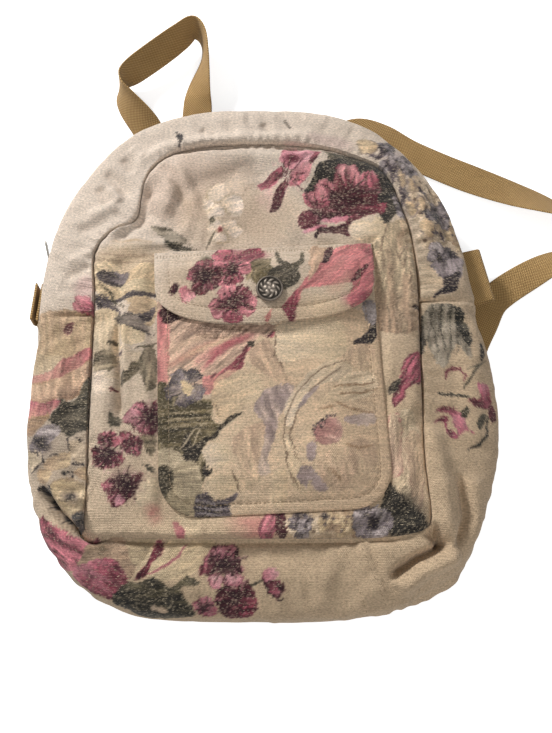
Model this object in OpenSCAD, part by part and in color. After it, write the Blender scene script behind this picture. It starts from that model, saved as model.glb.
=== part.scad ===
// Soft tapestry backpack, lying on its back with the zip closed.
// Millimetres. +Z points up out of the front panel and +Y towards the top of the bag.
// The origin is on the back face, at the centre of the arch that the zip follows.

/* [Body] */
// Thickness of the tapestry cloth with its backing
cloth_t = 2; // [1.4:0.1:2.6]
// Half the width of the front panel
panel_half_w = 122; // [114:1:128]
// Top of the front panel above the arch's centre
panel_top = 142; // [136:1:147]
// Bottom of the front panel below the arch's centre
panel_bottom = 167; // [158:1:176]
// Half the width of the back panel
back_half_w = 124; // [116:1:130]
// Top of the back panel above the arch's centre
back_top = 142; // [136:1:147]
// Bottom of the back panel below the arch's centre
back_bottom = 165; // [156:1:172]
// Height of the seam between the front panel and the gusset
seam_z = 42; // [39:0.5:48]
// Height that the front panel swells above its seam
crown = 7; // [4:0.5:10]

/* [Gusset] */
// Reach of the slumped left side from the arch's centre
reach_left = 166; // [164:1:176]
// Reach of the slumped right side from the arch's centre
reach_right = 164; // [163:1:176]
// Extra bulge of the lower right side
slump_right = 20; // [10:1:24]
// Extra bulge of the lower left side
slump_left = 7; // [2:1:12]
// Reach of the gusset over the top of the arch
reach_top = 177; // [173:1:184]
// Reach of the gusset round the bottom
reach_bottom = 223; // [214:1:232]
// Height that the gusset puffs up beside the front seam
gusset_puff = 4; // [2:0.5:6]
// Depth of the slouched dip in the front seam at the upper left
slouch = 9; // [0:1:14]

/* [Zip] */
// Radius of the circle that the zip follows
zip_r = 165; // [163:0.5:167]
// Height of the middle of the zip
zip_z = 20; // [19:0.5:22]
// Width of both tapes and the chain together
tape_w = 16; // [14:0.5:18]
// Thickness of the tape
tape_t = 1; // [0.6:0.1:1.2]
// Width of one row of the chain
chain_w = 2.2; // [1.8:0.1:2.6]
// Thickness of the chain
chain_t = 2.8; // [2.4:0.1:3.2]
// Distance from tooth to tooth along one row
tooth_pitch = 3.2; // [2.8:0.1:4]
// Thickness of a tooth along the zip
tooth_t = 1.6; // [1.2:0.1:2]
// Length of the slider
slider_l = 10; // [8:0.5:12]
// Width of the slider
slider_w = 9; // [8.5:0.5:10]
// Length of the pull from its pivot
pull_l = 20; // [16:0.5:22]
// Width of the pull
pull_w = 7; // [6.5:0.5:8]
// Angle round the arch at which the slider rests
slider_at = 163; // [161:0.5:163]

/* [Pocket] */
// Width of the front pocket at its mouth
pocket_w = 162; // [150:1:166]
// Height of the front pocket below the snap
pocket_drop = 163; // [150:1:166]
// Space inside the pocket
pocket_puff = 7.5; // [6.5:0.5:9]
// Thickness of the pocket's cloth
pocket_t = 1.8; // [1.2:0.1:2.2]
// Turn of the pocket on the panel, in degrees
pocket_tilt = 3; // [0:0.5:4]
// Width of the flap
flap_w = 165; // [164:1:172]
// Height of the flap above the snap
flap_rise = 39; // [36:1:42]
// Reach of the flap below the snap
flap_drop = 25; // [20:1:30]
// Thickness of the doubled flap
flap_t = 2.2; // [1.6:0.1:2.8]

/* [Snap] */
// Diameter of the ornamental button
button_d = 20; // [16:0.5:22]
// Height of the ornamental button
button_h = 4; // [3:0.5:5]
// Diameter of the magnetic snap's two discs
snap_d = 17; // [13:0.5:18]
// Thickness of each snap disc
snap_t = 1.5; // [1.2:0.1:1.8]

/* [Webbing] */
// Width of the strap webbing
webbing_w = 25; // [20:0.5:25]
// Thickness of the strap webbing
webbing_t = 1.6; // [1.2:0.1:1.8]
// Width of the folded tab across its fold
tab_w = 17; // [14:0.5:18]

/* [Hidden] */
$fn = 64;

tapestry = "#c4ad93";
webbing_tan = "#9c7a4a";
zip_grey = "#3c3b3d";
old_silver = "#8f8c84";

// Gap left between two pieces that lie on each other without being one
lay_gap = 0.3;
// Running clearance of the slider on its chain
zip_clear = 0.4;

// Angles of the zip's two ends and of the joining seam in the lower gusset
zip_right = 5;
zip_left = 180;
gusset_seam = 295;
// Angles of the folded tabs and of the metal stops beside them
tab_left = [169, 179];
tab_right = [6, 20.5];
stop_left = 165.4;
stop_right = 22;
stop_sweep = 0.7;

// Heights of the edges of the zip, and the thickness of the back panel that the gusset stands on
tape_top = zip_z + tape_w/2;
tape_bottom = zip_z - tape_w/2;
back_t = cloth_t + 0.2;

// Shape powers of the panel outlines: a soft arch on top and squarer corners below
arch_power = 3;
corner_power = 9;
slump_arch_power = 2.35;
slump_corner_power = 3.5;

// Sampling: angles round the bag, closer together at the two bottom corners
function angle_step(a) = (a >= -65 && a < -40) || (a >= 220 && a < 245) ? 2.5 : 5;
around = [for (a = -90; a < 270; a = a + angle_step(a)) a];
front_steps = 6;
side_steps = 2;
rear_steps = 4;
panel_rings = [0.16, 0.42, 0.66, 0.84, 0.94, 1];

// Small helpers
function lerp(p, q, t) = p + (q - p)*t;
function clamp01(t) = max(0, min(1, t));
function ease(t) = let (c = clamp01(t)) c*c*(3 - 2*c);
function bump(a, at, spread) = exp(-pow((a - at)/spread, 2));
function polar(r, a) = [r*cos(a), r*sin(a)];
function unit(v) = v/norm(v);
function bezier(p, t) =
    pow(1 - t, 3)*p[0] + 3*t*pow(1 - t, 2)*p[1] + 3*t*t*(1 - t)*p[2] + t*t*t*p[3];

// Radius, at an angle, of an outline that reaches half_w to the side and reach up or down
function outline(a, half_w, reach, power) =
    pow(pow(abs(cos(a))/half_w, power) + pow(abs(sin(a))/reach, power), -1/power);

// Outline of the front panel, with the slouched dip and the tucks at its corners
function front_r(a) =
    outline(a, panel_half_w, sin(a) >= 0 ? panel_top : panel_bottom, sin(a) >= 0 ? arch_power : corner_power)
    - slouch*bump(a, 141, 8) + 0.4*slouch*bump(a, 159, 8)
    + 5*bump(a, 50, 7) + 5*bump(a, 233, 5) + 8*bump(a, -51, 6);

// Outline of the back panel
function back_r(a) =
    outline(a, back_half_w, sin(a) >= 0 ? back_top : back_bottom, sin(a) >= 0 ? arch_power : corner_power - 2);

// Outline of the slumped gusset, the widest line of the bag
function side_r(a) =
    outline(a, cos(a) >= 0 ? reach_right : reach_left, sin(a) >= 0 ? reach_top : reach_bottom,
            sin(a) >= 0 ? slump_arch_power : slump_corner_power)
    + slump_right*bump(a, -28, 25) + 4*bump(a, -52, 8) + slump_left*bump(a, 212, 20);

// Share, from 0 to 1, by which an angle lies past the zip's ends
function below_zip(a) =
    a > zip_left ? ease((a - zip_left)/16) * ease((zip_right + 360 - a)/16)
    : a < zip_right ? ease((zip_right - a)/16) : 0;

// Radius of the upright stretch in the middle of the gusset: the zip, or the slumped side
function middle_r(a) = lerp(zip_r, side_r(a) - 1, below_zip(a));

// Section of the gusset at an angle, as [radius, height] from the front seam down to the back panel
function front_curve(a) =
    let (f = front_r(a), s = side_r(a), m = middle_r(a) + cloth_t/2)
    [[f, seam_z], [f + 0.35*(s - f), seam_z + gusset_puff],
     [s + 1.5*(s - m), tape_top + 10], [m, tape_top]];
function rear_curve(a) =
    let (b = back_r(a), m = middle_r(a) + cloth_t/2)
    [[m, tape_bottom], [m - 1, tape_bottom - 7], [lerp(b, m, 0.5), back_t + 0.4], [b, back_t]];
function front_section(a) = [for (i = [0:front_steps]) bezier(front_curve(a), i/front_steps)];
function side_section(a) =
    [for (i = [0:side_steps]) let (t = i/side_steps)
        [middle_r(a) + cloth_t/2 + 4*t*(1 - t)*below_zip(a), lerp(tape_top, tape_bottom, t)]];
function rear_section(a) = [for (i = [0:rear_steps]) bezier(rear_curve(a), i/rear_steps)];

// A section moved inwards by the cloth's thickness, with its two ends given
function inset_section(s, first, last) =
    [for (i = [0:len(s) - 1])
        i == 0 ? first : i == len(s) - 1 ? last
        : let (d = unit(s[i + 1] - s[i - 1])) s[i] + cloth_t*[d[1], -d[0]]];
function front_inner(a) =
    inset_section(front_section(a), [front_r(a), seam_z - cloth_t], [middle_r(a) - cloth_t/2, tape_top]);
function rear_inner(a) =
    inset_section(rear_section(a), [middle_r(a) - cloth_t/2, tape_bottom], [back_r(a) - cloth_t, back_t]);
function side_inner(a) = [for (p = side_section(a)) p - [cloth_t, 0]];

// A whole section from three stretches that share their end points
function joined(front, side, rear) =
    concat(front, [for (i = [1:side_steps]) side[i]], [for (i = [1:rear_steps]) rear[i]]);
function whole_section(a) = joined(front_section(a), side_section(a), rear_section(a));
function whole_inner(a) = joined(front_inner(a), side_inner(a), rear_inner(a));

// A section stood up at its angle
function stand(section, a) = [for (p = section) [p[0]*cos(a), p[0]*sin(a), p[1]]];

// Height of the front panel's outer face over a point of its plan
function panel_z(x, y) =
    let (a = atan2(y, x), k = norm([x, y])/front_r(a < -90 ? a + 360 : a))
    seam_z + crown*(1 - pow(min(k, 1), 6));

// Triangles of a grid of rows by columns, whose first point has the index base
function grid_faces(rows, columns, base, flip) =
    [for (i = [0:rows - 2], j = [0:columns - 2])
        let (p = base + i*columns + j, q = p + 1, r = p + columns, s = r + 1)
        each (flip ? [[p, r, q], [q, r, s]] : [[p, q, r], [q, s, r]])];

// A closed sheet of cloth between two matching grids of points
module sheet(outer, inner) {
    rows = len(outer);
    columns = len(outer[0]);
    n = rows*columns;
    rim = concat([for (j = [0:columns - 1]) j],
                 [for (i = [1:rows - 1]) i*columns + columns - 1],
                 [for (j = [columns - 2:-1:0]) (rows - 1)*columns + j],
                 [for (i = [rows - 2:-1:1]) i*columns]);
    walls = [for (k = [0:len(rim) - 1])
                let (p = rim[k], q = rim[(k + 1) % len(rim)])
                each [[p, p + n, q], [q, p + n, q + n]]];
    polyhedron([each for (row = outer) row, each for (row = inner) row],
               concat(grid_faces(rows, columns, 0, false), grid_faces(rows, columns, n, true), walls));
}

// A length of gusset between two angles, from a function that gives its sections
module gusset_length(from, to, outer, inner) {
    angles = concat([for (a = around) if (a > from - 0.01 && a < to + 0.01) a],
                    [for (a = around) if (a < from - 0.01 && a + 360 < to + 0.01) a + 360]);
    sheet([for (a = angles) stand(outer(a > 270 ? a - 360 : a), a)],
          [for (a = angles) stand(inner(a > 270 ? a - 360 : a), a)]);
}

// Body panels

module front_panel() {
    n = len(around);
    rings = len(panel_rings);
    outer = [for (k = panel_rings, a = around)
                let (p = polar(k*front_r(a), a)) [p[0], p[1], seam_z + crown*(1 - pow(k, 6))]];
    inner = [for (p = outer) p - [0, 0, cloth_t]];
    middle = [0, 0, seam_z + crown];
    m = rings*n;
    faces = concat(
        [for (i = [0:rings - 2], j = [0:n - 1])
            let (p = i*n + j, q = i*n + (j + 1) % n, r = p + n, s = q + n)
            each [[p, q, r], [q, s, r], [p + m, r + m, q + m], [q + m, r + m, s + m]]],
        [for (j = [0:n - 1])
            let (p = j, q = (j + 1) % n, e = (rings - 1)*n)
            each [[2*m, q, p], [2*m + 1, p + m, q + m],
                  [e + p, e + q, e + p + m], [e + q, e + q + m, e + p + m]]]);
    color(tapestry)
    polyhedron(concat(outer, inner, [middle, middle - [0, 0, cloth_t]]), faces);
}

module back_panel() {
    color(tapestry)
    linear_extrude(back_t)
    polygon([for (a = around) polar(back_r(a), a)]);
}

module zip_gusset_front() {
    color(tapestry)
    gusset_length(zip_right, zip_left, function (a) front_section(a), function (a) front_inner(a));
}

module zip_gusset_rear() {
    color(tapestry)
    gusset_length(zip_right, zip_left, function (a) rear_section(a), function (a) rear_inner(a));
}

module lower_gusset_left() {
    color(tapestry)
    gusset_length(zip_left, gusset_seam, function (a) whole_section(a), function (a) whole_inner(a));
}

module lower_gusset_right() {
    color(tapestry)
    gusset_length(gusset_seam - 360, zip_right, function (a) whole_section(a), function (a) whole_inner(a));
}

// Zip

// An arc of a profile drawn as [distance outside the zip's circle, height above its middle]
module along_zip(from, to) {
    translate([0, 0, zip_z])
    rotate([0, 0, from])
    rotate_extrude(angle = to - from)
    translate([zip_r, 0])
    children();
}

// The two rows of the chain leave a slit for the slider's divider
slit = 1.2;
// Cord that carries the teeth, thicker than the tape and thinner than the teeth
cord_t = tape_t + 0.8;
cord_w = chain_w*0.4;

module zip_tape(side) {
    low = slit/2 + chain_w;
    color(zip_grey)
    along_zip(zip_right, zip_left)
    translate([-tape_t/2, side > 0 ? low : -tape_w/2])
    square([tape_t, tape_w/2 - low]);
}

// One row of the chain: a cord along the tape that carries a tooth at each step, half a step apart in the two rows
module zip_chain(side) {
    step = tooth_pitch/zip_r*180/PI;
    count = floor((zip_left - zip_right)/step - 0.5);
    color(zip_grey) {
        along_zip(zip_right, zip_left)
        translate([-cord_t/2, side > 0 ? slit/2 + chain_w - cord_w : -slit/2 - chain_w])
        square([cord_t, cord_w]);
        for (i = [0:count - 1])
            on_zip(zip_right + (i + (side > 0 ? 0.5 : 1))*step)
            translate([-chain_t/2, -tooth_t/2, side > 0 ? slit/2 : -slit/2 - chain_w])
            cube([chain_t, tooth_t, chain_w]);
    }
}

module zip_tape_front() zip_tape(1);
module zip_tape_rear() zip_tape(-1);
module zip_chain_front() zip_chain(1);
module zip_chain_rear() zip_chain(-1);

module zip_stops() {
    color(old_silver)
    for (a = [stop_left, stop_right])
        along_zip(a, a + stop_sweep)
        translate([chain_t/2, -chain_w - slit/2])
        square([1, 2*chain_w + slit]);
}

// Plates of the slider, measured outwards from the zip's circle
plate_in = chain_t/2 + zip_clear;
plate_t = 1.3;
plate_out = plate_in + plate_t;
lip_t = (slider_w - 2*chain_w - slit)/2 - zip_clear;
bail_gap = 2;
bail_t = 1;
bail_w = 1.8;
bail_l = 6.4;
pin_d = 1.3;
pin_x = plate_out + bail_gap/2 + 0.1;
pin_y = -bail_l/2 + bail_t + pin_d/2 + 0.2;
pull_t = 1.2;
// Angle of the resting pull from the outward direction, and the length of its eye
pull_rest = -59;
eye_l = 7;
eye_gap = 0.5;

// A place on the zip's circle: +X outwards, +Y along the zip
module on_zip(a) {
    rotate([0, 0, a])
    translate([zip_r, 0, zip_z])
    children();
}

module zip_slider() {
    color(old_silver)
    on_zip(slider_at) {
        for (side = [1, -1]) {
            // Plate with rounded ends
            translate([side > 0 ? plate_in : -plate_out, 0, 0])
            rotate([0, 90, 0])
            linear_extrude(plate_t)
            intersection() {
                square([slider_w, slider_l], center = true);
                circle(d = norm([slider_w, slider_l]) - 1.6);
            }
            // Lips that close the plate's long edges down to the tape
            for (edge = [1, -1])
                translate([side > 0 ? tape_t/2 + zip_clear : -plate_in, -slider_l/3,
                           edge > 0 ? slider_w/2 - lip_t : -slider_w/2])
                cube([plate_in - tape_t/2 - zip_clear, slider_l*2/3, lip_t]);
        }
        // Divider that runs between the two rows of the chain
        translate([-plate_in, -slider_l/4, -slit/2 + 0.3])
        cube([2*plate_in, slider_l/4, slit - 0.6]);
        // Bail that holds the pull
        translate([plate_out, -bail_l/2, -bail_w/2])
        difference() {
            cube([bail_gap + bail_t, bail_l, bail_w]);
            translate([-1, bail_t, -1])
            cube([bail_gap + 1, bail_l - 2*bail_t, bail_w + 2]);
        }
    }
}

module zip_pull() {
    arm_z = bail_w/2 + eye_gap;
    color(old_silver)
    on_zip(slider_at)
    translate([pin_x, pin_y, 0])
    rotate([0, 0, pull_rest]) {
        cylinder(d = pin_d, h = pull_w, center = true);
        // Plate with a round tip, and the eye cut through it for the bail
        rotate([90, 0, 0])
        linear_extrude(pull_t, center = true)
        difference() {
            union() {
                translate([0, -pull_w/2])
                square([pull_l - pull_w/2, pull_w]);
                translate([pull_l - pull_w/2, 0])
                circle(d = pull_w);
            }
            translate([0.4, -arm_z])
            square([eye_l, 2*arm_z]);
            translate([pull_l - pull_w/2, 0])
            circle(d = 2.4);
        }
    }
}

// Folded webbing sewn over each end of the zip: two layers and the turn between them
tab_turn = 3.2;
module tab_profile() {
    leg = tab_w - tab_turn;
    difference() {
        union() {
            circle(r = tab_turn);
            translate([-tab_turn, 0])
            square([2*tab_turn, leg]);
        }
        circle(r = tab_turn - webbing_t);
        translate([webbing_t - tab_turn, 0])
        square([2*(tab_turn - webbing_t), leg + 1]);
    }
}

module zip_tab_left() {
    // Hangs down beside the zip with its turn at the bottom
    color(webbing_tan)
    along_zip(tab_left[0], tab_left[1])
    translate([chain_t/2 + zip_clear + tab_turn, tab_turn - tab_w/2 - 2])
    tab_profile();
}

module zip_tab_right() {
    // Stands straight out with its turn on the outside
    color(webbing_tan)
    along_zip(tab_right[0], tab_right[1])
    translate([chain_t/2 + zip_clear + tab_w - tab_turn, 0])
    rotate(90)
    tab_profile();
}

// Front pocket, its flap and the snap

pocket_at = [7, 13];
snap_x = 3;
pocket_mouth = 20;
pocket_flare = 3;
pocket_corner = 30;
pocket_close = 45;
flap_shoulder = 12;
snap_room = 2*snap_t + 3*lay_gap;

// A point of the pocket's own plan, turned into place on the panel
function on_panel(p) =
    pocket_at + [p[0]*cos(pocket_tilt) - p[1]*sin(pocket_tilt), p[0]*sin(pocket_tilt) + p[1]*cos(pocket_tilt)];
function panel_height(p) = let (q = on_panel(p)) panel_z(q[0], q[1]);

// Half the width of the pocket at a height of its plan, with round bottom corners
function pocket_half(y) =
    let (flared = pocket_w/2 + pocket_flare*(pocket_mouth - y)/(pocket_mouth + pocket_drop),
         in_corner = clamp01((pocket_corner - pocket_drop - y)/pocket_corner))
    flared - pocket_corner*(1 - sqrt(1 - in_corner*in_corner));

// Room between the panel and the pocket's cloth
function pocket_room(x, y) =
    pocket_puff*(1 - pow(min(1, abs(x)/pocket_half(y)), 4))
    * (1 - pow(clamp01((pocket_close - pocket_drop - y)/pocket_close), 3));

// Half the width of the flap, drawn in to a soft point below its shoulders
function flap_half(y) =
    flap_w/2*pow(1 - pow(clamp01((flap_shoulder - y)/(flap_shoulder + flap_drop)), 2.4), 1/2.4);

// Height of the flap's underside over the panel
function flap_lift(x, y) =
    let (over = ease((flap_rise - 1 - y)/(flap_rise - 1 - pocket_mouth)),
         room = pocket_puff*(1 - pow(min(1, abs(x)/(flap_w/2 + 0.5)), 4)),
         snap = snap_room*exp(-pow(norm([x - snap_x, y])/24, 4)))
    lay_gap + over*(room + pocket_t + 1.5*lay_gap + snap);

// A sheet laid over the panel: rows of its plan, a half width, and heights of its two faces
module laid_sheet(ys, columns, half, low, thick) {
    points = [for (y = ys) [for (i = [0:columns]) [half(y)*(2*i/columns - 1), y]]];
    top = [for (row = points) [for (p = row)
              let (q = on_panel(p)) [q[0], q[1], panel_height(p) + low(p) + thick]]];
    under = [for (row = top) [for (p = row) p - [0, 0, thick]]];
    sheet(top, under);
}

module pocket_panel() {
    corner_rows = [1, 0.985, 0.94, 0.87, 0.77, 0.64, 0.5, 0.34, 0.17];
    straight = pocket_mouth + pocket_drop - pocket_corner;
    ys = concat([for (t = corner_rows) pocket_corner - pocket_drop - t*pocket_corner],
                [for (i = [0:10]) pocket_corner - pocket_drop + straight*i/10]);
    color(tapestry)
    laid_sheet(ys, 18, function (y) pocket_half(y),
               function (p) lay_gap + pocket_room(p[0], p[1]), pocket_t);
}

module pocket_flap() {
    drop = flap_shoulder + flap_drop;
    lower_rows = [0.985, 0.95, 0.9, 0.82, 0.72, 0.6, 0.46, 0.31, 0.15];
    upper = flap_rise - flap_shoulder;
    ys = concat([for (t = lower_rows) flap_shoulder - t*drop],
                [for (i = [0:8]) flap_shoulder + upper*i/8]);
    color(tapestry)
    laid_sheet(ys, 22, function (y) flap_half(y),
               function (p) flap_lift(p[0], p[1]), flap_t);
}

// Stands on the pocket at the snap, at a height above the panel
module at_snap(lift) {
    p = [snap_x, 0];
    q = on_panel(p);
    translate([q[0], q[1], panel_height(p) + lift])
    children();
}
pocket_face = lay_gap + pocket_room(snap_x, 0) + pocket_t;

module button_cap() {
    rim = 1.3;
    boss = button_d/2 - rim;
    color(old_silver)
    at_snap(flap_lift(snap_x, 0) + flap_t + lay_gap/3)
    rotate_extrude()
    union() {
        // Flat back and low dome
        difference() {
            translate([0, button_h - 2*boss])
            circle(r = 2*boss);
            translate([-3*boss, -5*boss])
            square([6*boss, 5*boss]);
            translate([boss, -1])
            square([3*boss, 2*button_h]);
            translate([-3*boss, -1])
            square([3*boss, 2*button_h]);
        }
        // Rolled rim
        translate([boss, rim])
        circle(r = rim);
        translate([boss - rim, 0])
        square([rim, rim]);
    }
}

module snap_socket() {
    color(old_silver)
    at_snap(flap_lift(snap_x, 0) - lay_gap - snap_t)
    difference() {
        cylinder(d = snap_d, h = snap_t);
        translate([0, 0, -1])
        cylinder(d = snap_d/3 + 0.6, h = snap_t + 2);
    }
}

module snap_stud() {
    color(old_silver)
    at_snap(pocket_face + lay_gap/3) {
        cylinder(d = snap_d, h = snap_t);
        cylinder(d = snap_d/3, h = snap_t + 1);
    }
}

// Shoulder straps

// Height of the middle of webbing that lies just clear of the floor
floor_gap = 0.2;
floor_z = webbing_t/2 + floor_gap;

// A station of a strap: where its middle runs, and the roll of its width in degrees
function station(p, z, roll) = [p[0], p[1], z, roll];
// A station tucked under the gusset, a share of the way from the back panel to the widest line
function tucked(a, share, roll) = station(polar(lerp(back_r(a), side_r(a), share), a), floor_z, roll);
// The sewn end of a strap, just clear of the back panel's edge
function sewn(a, roll) = station(polar(back_r(a) + lay_gap, a), floor_z, roll);
// A station beside the bag, from the point of the widest line at an angle
function beside(a, d, z, roll) = station(polar(side_r(a), a) + d, z, roll);

// Angles at which each strap is sewn to the back panel's edge
left_sewn = [107, 223];
right_sewn = [70, -46];

// The left strap stands up in a loop above the top, then runs under the left side
left_route = [
    sewn(left_sewn[0], 0),
    tucked(107, 0.8, 0),
    beside(106, [-1, 22], 5, 14),
    beside(106, [0, 38], 9, 35),
    beside(106, [5, 67], 15, 74),
    beside(106, [3, 84], 17, 80),
    beside(106, [-5, 92], 17, 72),
    beside(106, [-16, 83], 17, 58),
    beside(106, [-32, 70], 16, 50),
    beside(106, [-52, 54], 15, 56),
    beside(106, [-62, 45], 14.5, 78),
    beside(106, [-64, 36], 14.5, 105),
    beside(106, [-58, 24], 12, 130),
    beside(106, [-41, 2], 5.4, 164),
    beside(106, [-39, -15], 2, 178),
    tucked(126, 0.62, 180),
    tucked(138, 0.55, 180),
    tucked(155, 0.55, 180),
    tucked(172, 0.58, 180),
    tucked(190, 0.58, 180),
    tucked(206, 0.58, 180),
    tucked(214, 0.46, 180),
    sewn(left_sewn[1], 180)];

// The right strap lies out to the right and comes back under the right side
right_route = [
    sewn(right_sewn[0], 0),
    tucked(70, 0.75, 0),
    beside(57, [-19, 23], 2.4, 0),
    beside(57, [2, 18], 3, 0),
    beside(57, [24, 4], 3, 0),
    beside(57, [50, -9], 3, 0),
    beside(57, [75, -20], 3, 0),
    beside(57, [106, -33], 4.5, 14),
    beside(57, [134, -46], 9.4, 36),
    beside(57, [166, -62], 13.6, 70),
    beside(57, [185, -74], 14.2, 88),
    beside(57, [176, -86], 14.2, 104),
    beside(57, [157, -88], 12.8, 120),
    beside(57, [135, -95], 7.8, 152),
    beside(57, [115, -105], 4, 172),
    beside(57, [95, -118], 3, 180),
    beside(57, [85, -128], 3, 180),
    beside(57, [78, -143], 2.5, 180),
    tucked(-6, 0.84, 180),
    tucked(-20, 0.62, 180),
    tucked(-31, 0.58, 180),
    tucked(-38, 0.46, 180),
    sewn(right_sewn[1], 180)];

// A smooth curve through the stations of a route, straight at the sewn ends
rings_per_span = 4;
function through(p, i, t) =
    let (a = p[i - 1], b = p[i], c = p[i + 1], d = p[i + 2])
    0.5*(2*b + (c - a)*t + (2*a - 5*b + 4*c - d)*t*t + (3*b - a - 3*c + d)*t*t*t);
function smooth_route(p) =
    let (last = len(p) - 1)
    concat([p[0]],
           [for (i = [1:last - 2], s = [0:rings_per_span - 1]) through(p, i, s/rings_per_span)],
           [p[last - 1], p[last]]);
function place(s) = [s[0], s[1], s[2]];

// Direction of the back panel's edge at an angle
function back_edge(a) =
    let (d = polar(back_r(a + 1), a + 1) - polar(back_r(a - 1), a - 1))
    unit([d[0], d[1], 0]);

// Four corners of the webbing at a ring of its route, cut along the panel's edge where it is sewn
function webbing_ring(route, i, sewn_at) =
    let (last = len(route) - 1,
         along = unit(place(route[min(i + 1, last)]) - place(route[max(i - 1, 0)])),
         side = unit(cross(along, [0, 0, 1])),
         wide = side*cos(route[i][3]) + cross(side, along)*sin(route[i][3]),
         thick = cross(along, wide),
         edge = back_edge(i == 0 ? sewn_at[0] : sewn_at[1]),
         across = i == 0 || i == last ? edge/(edge*wide) : wide,
         w = across*webbing_w/2, t = thick*webbing_t/2, p = place(route[i]),
         c = [p[0], p[1], max(p[2], abs(w[2]) + abs(t[2]) + floor_gap)])
    [c - w - t, c + w - t, c + w + t, c - w + t];

// Both wide faces are split along the same diagonal, so a twist keeps its thickness
module strap(stations, sewn_at) {
    route = smooth_route(stations);
    n = len(route);
    points = [for (i = [0:n - 1]) each webbing_ring(route, i, sewn_at)];
    faces = concat(
        [[3, 2, 1, 0], [for (k = [0:3]) 4*(n - 1) + k]],
        [for (i = [0:n - 2], k = [0:3])
            let (p = 4*i + k, q = 4*i + (k + 1) % 4)
            each k == 2 ? [[p, q, q + 4], [p, q + 4, p + 4]] : [[p, q, p + 4], [q, q + 4, p + 4]]]);
    color(webbing_tan)
    polyhedron(points, faces);
}

module shoulder_strap_left() strap(left_route, left_sewn);
module shoulder_strap_right() strap(right_route, right_sewn);

front_panel();
back_panel();
zip_gusset_front();
zip_gusset_rear();
lower_gusset_left();
lower_gusset_right();
zip_tape_front();
zip_tape_rear();
zip_chain_front();
zip_chain_rear();
zip_stops();
zip_slider();
zip_pull();
zip_tab_left();
zip_tab_right();
pocket_panel();
pocket_flap();
button_cap();
snap_socket();
snap_stud();
shoulder_strap_left();
shoulder_strap_right();
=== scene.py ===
"""A floral tapestry backpack lying on its back: cloth, webbing, zip and snap, over the solid model."""

import math
from functools import lru_cache

import bmesh
import bpy
import numpy as np
from mathutils import Matrix, Vector


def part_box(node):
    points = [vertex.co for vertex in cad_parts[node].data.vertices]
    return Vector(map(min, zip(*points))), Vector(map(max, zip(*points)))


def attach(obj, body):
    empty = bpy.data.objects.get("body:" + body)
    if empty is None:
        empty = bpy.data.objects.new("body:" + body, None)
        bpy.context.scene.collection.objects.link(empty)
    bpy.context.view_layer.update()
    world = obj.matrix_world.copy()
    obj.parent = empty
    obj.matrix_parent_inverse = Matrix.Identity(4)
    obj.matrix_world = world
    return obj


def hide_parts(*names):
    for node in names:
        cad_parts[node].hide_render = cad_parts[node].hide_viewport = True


bl_info = {
    "name": "Tapestry Backpack",
    "version": (1, 0, 0),
    "blender": (4, 5, 0),
    "location": "3D View > Sidebar > Backpack",
    "description": "Builds a floral tapestry backpack from its sewn pieces",
    "category": "Object",
}

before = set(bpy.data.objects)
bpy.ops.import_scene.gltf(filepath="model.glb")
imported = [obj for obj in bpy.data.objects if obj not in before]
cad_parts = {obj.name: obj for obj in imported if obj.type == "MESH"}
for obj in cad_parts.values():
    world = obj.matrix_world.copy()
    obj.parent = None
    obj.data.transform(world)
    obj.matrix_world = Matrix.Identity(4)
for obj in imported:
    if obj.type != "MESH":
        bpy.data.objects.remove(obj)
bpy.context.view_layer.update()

MM = 0.001

# Sizes of the bag in millimetres and degrees, as in the solid model
PANEL_HALF_W = 122.0
PANEL_TOP = 142.0
PANEL_BOTTOM = 167.0
BACK_HALF_W = 124.0
BACK_TOP = 142.0
BACK_BOTTOM = 165.0
SEAM_Z = 42.0
CROWN = 7.0
REACH_LEFT = 166.0
REACH_RIGHT = 164.0
REACH_TOP = 177.0
REACH_BOTTOM = 223.0
GUSSET_PUFF = 4.0
ZIP_R = 165.0
ZIP_Z = 20.0
TAPE_TOP = 28.0
TAPE_BOTTOM = 12.0
BACK_T = 2.2
CLOTH_T = 2.0
ZIP_RIGHT = 5.0
ZIP_LEFT = 180.0
GUSSET_SEAM = 295.0
POCKET_AT = (7.0, 13.0)
POCKET_TILT = math.radians(3.0)
POCKET_W = 162.0
POCKET_MOUTH = 20.0
POCKET_DROP = 163.0
POCKET_FLARE = 3.0
POCKET_CORNER = 30.0
POCKET_CLOSE = 45.0
POCKET_PUFF = 7.5
POCKET_T = 1.8
FLAP_W = 165.0
FLAP_RISE = 39.0
FLAP_DROP = 25.0
FLAP_SHOULDER = 12.0
FLAP_POWER = 2.4
FLAP_T = 2.2
SNAP_X = 3.0
SNAP_RISE = 3.9
LAY_GAP = 0.3

# Where the front seam and the gusset leave their plain outlines: angle, its spread, millimetres outwards
SEAM_BULGES = (
    (141.0, 8.0, -9.0),
    (159.0, 8.0, 3.6),
    (50.0, 7.0, 5.0),
    (233.0, 5.0, 5.0),
    (-51.0, 6.0, 8.0),
    (136.0, 11.0, -14.0),
    (233.5, 3.2, 6.0),
    (-51.5, 3.0, 3.6),
)
SIDE_BULGES = (
    (-28.0, 25.0, 20.0),
    (-52.0, 8.0, 4.0),
    (212.0, 20.0, 7.0),
)

# Angle at which the corners of a panel's net lie, and columns and rows of the nets
CORNER_ANGLE = 52.0
FRONT_NET = (256, 310)
BACK_NET = (115, 142)
POCKET_COLUMNS = 187
FLAP_COLUMNS = 208

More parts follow.
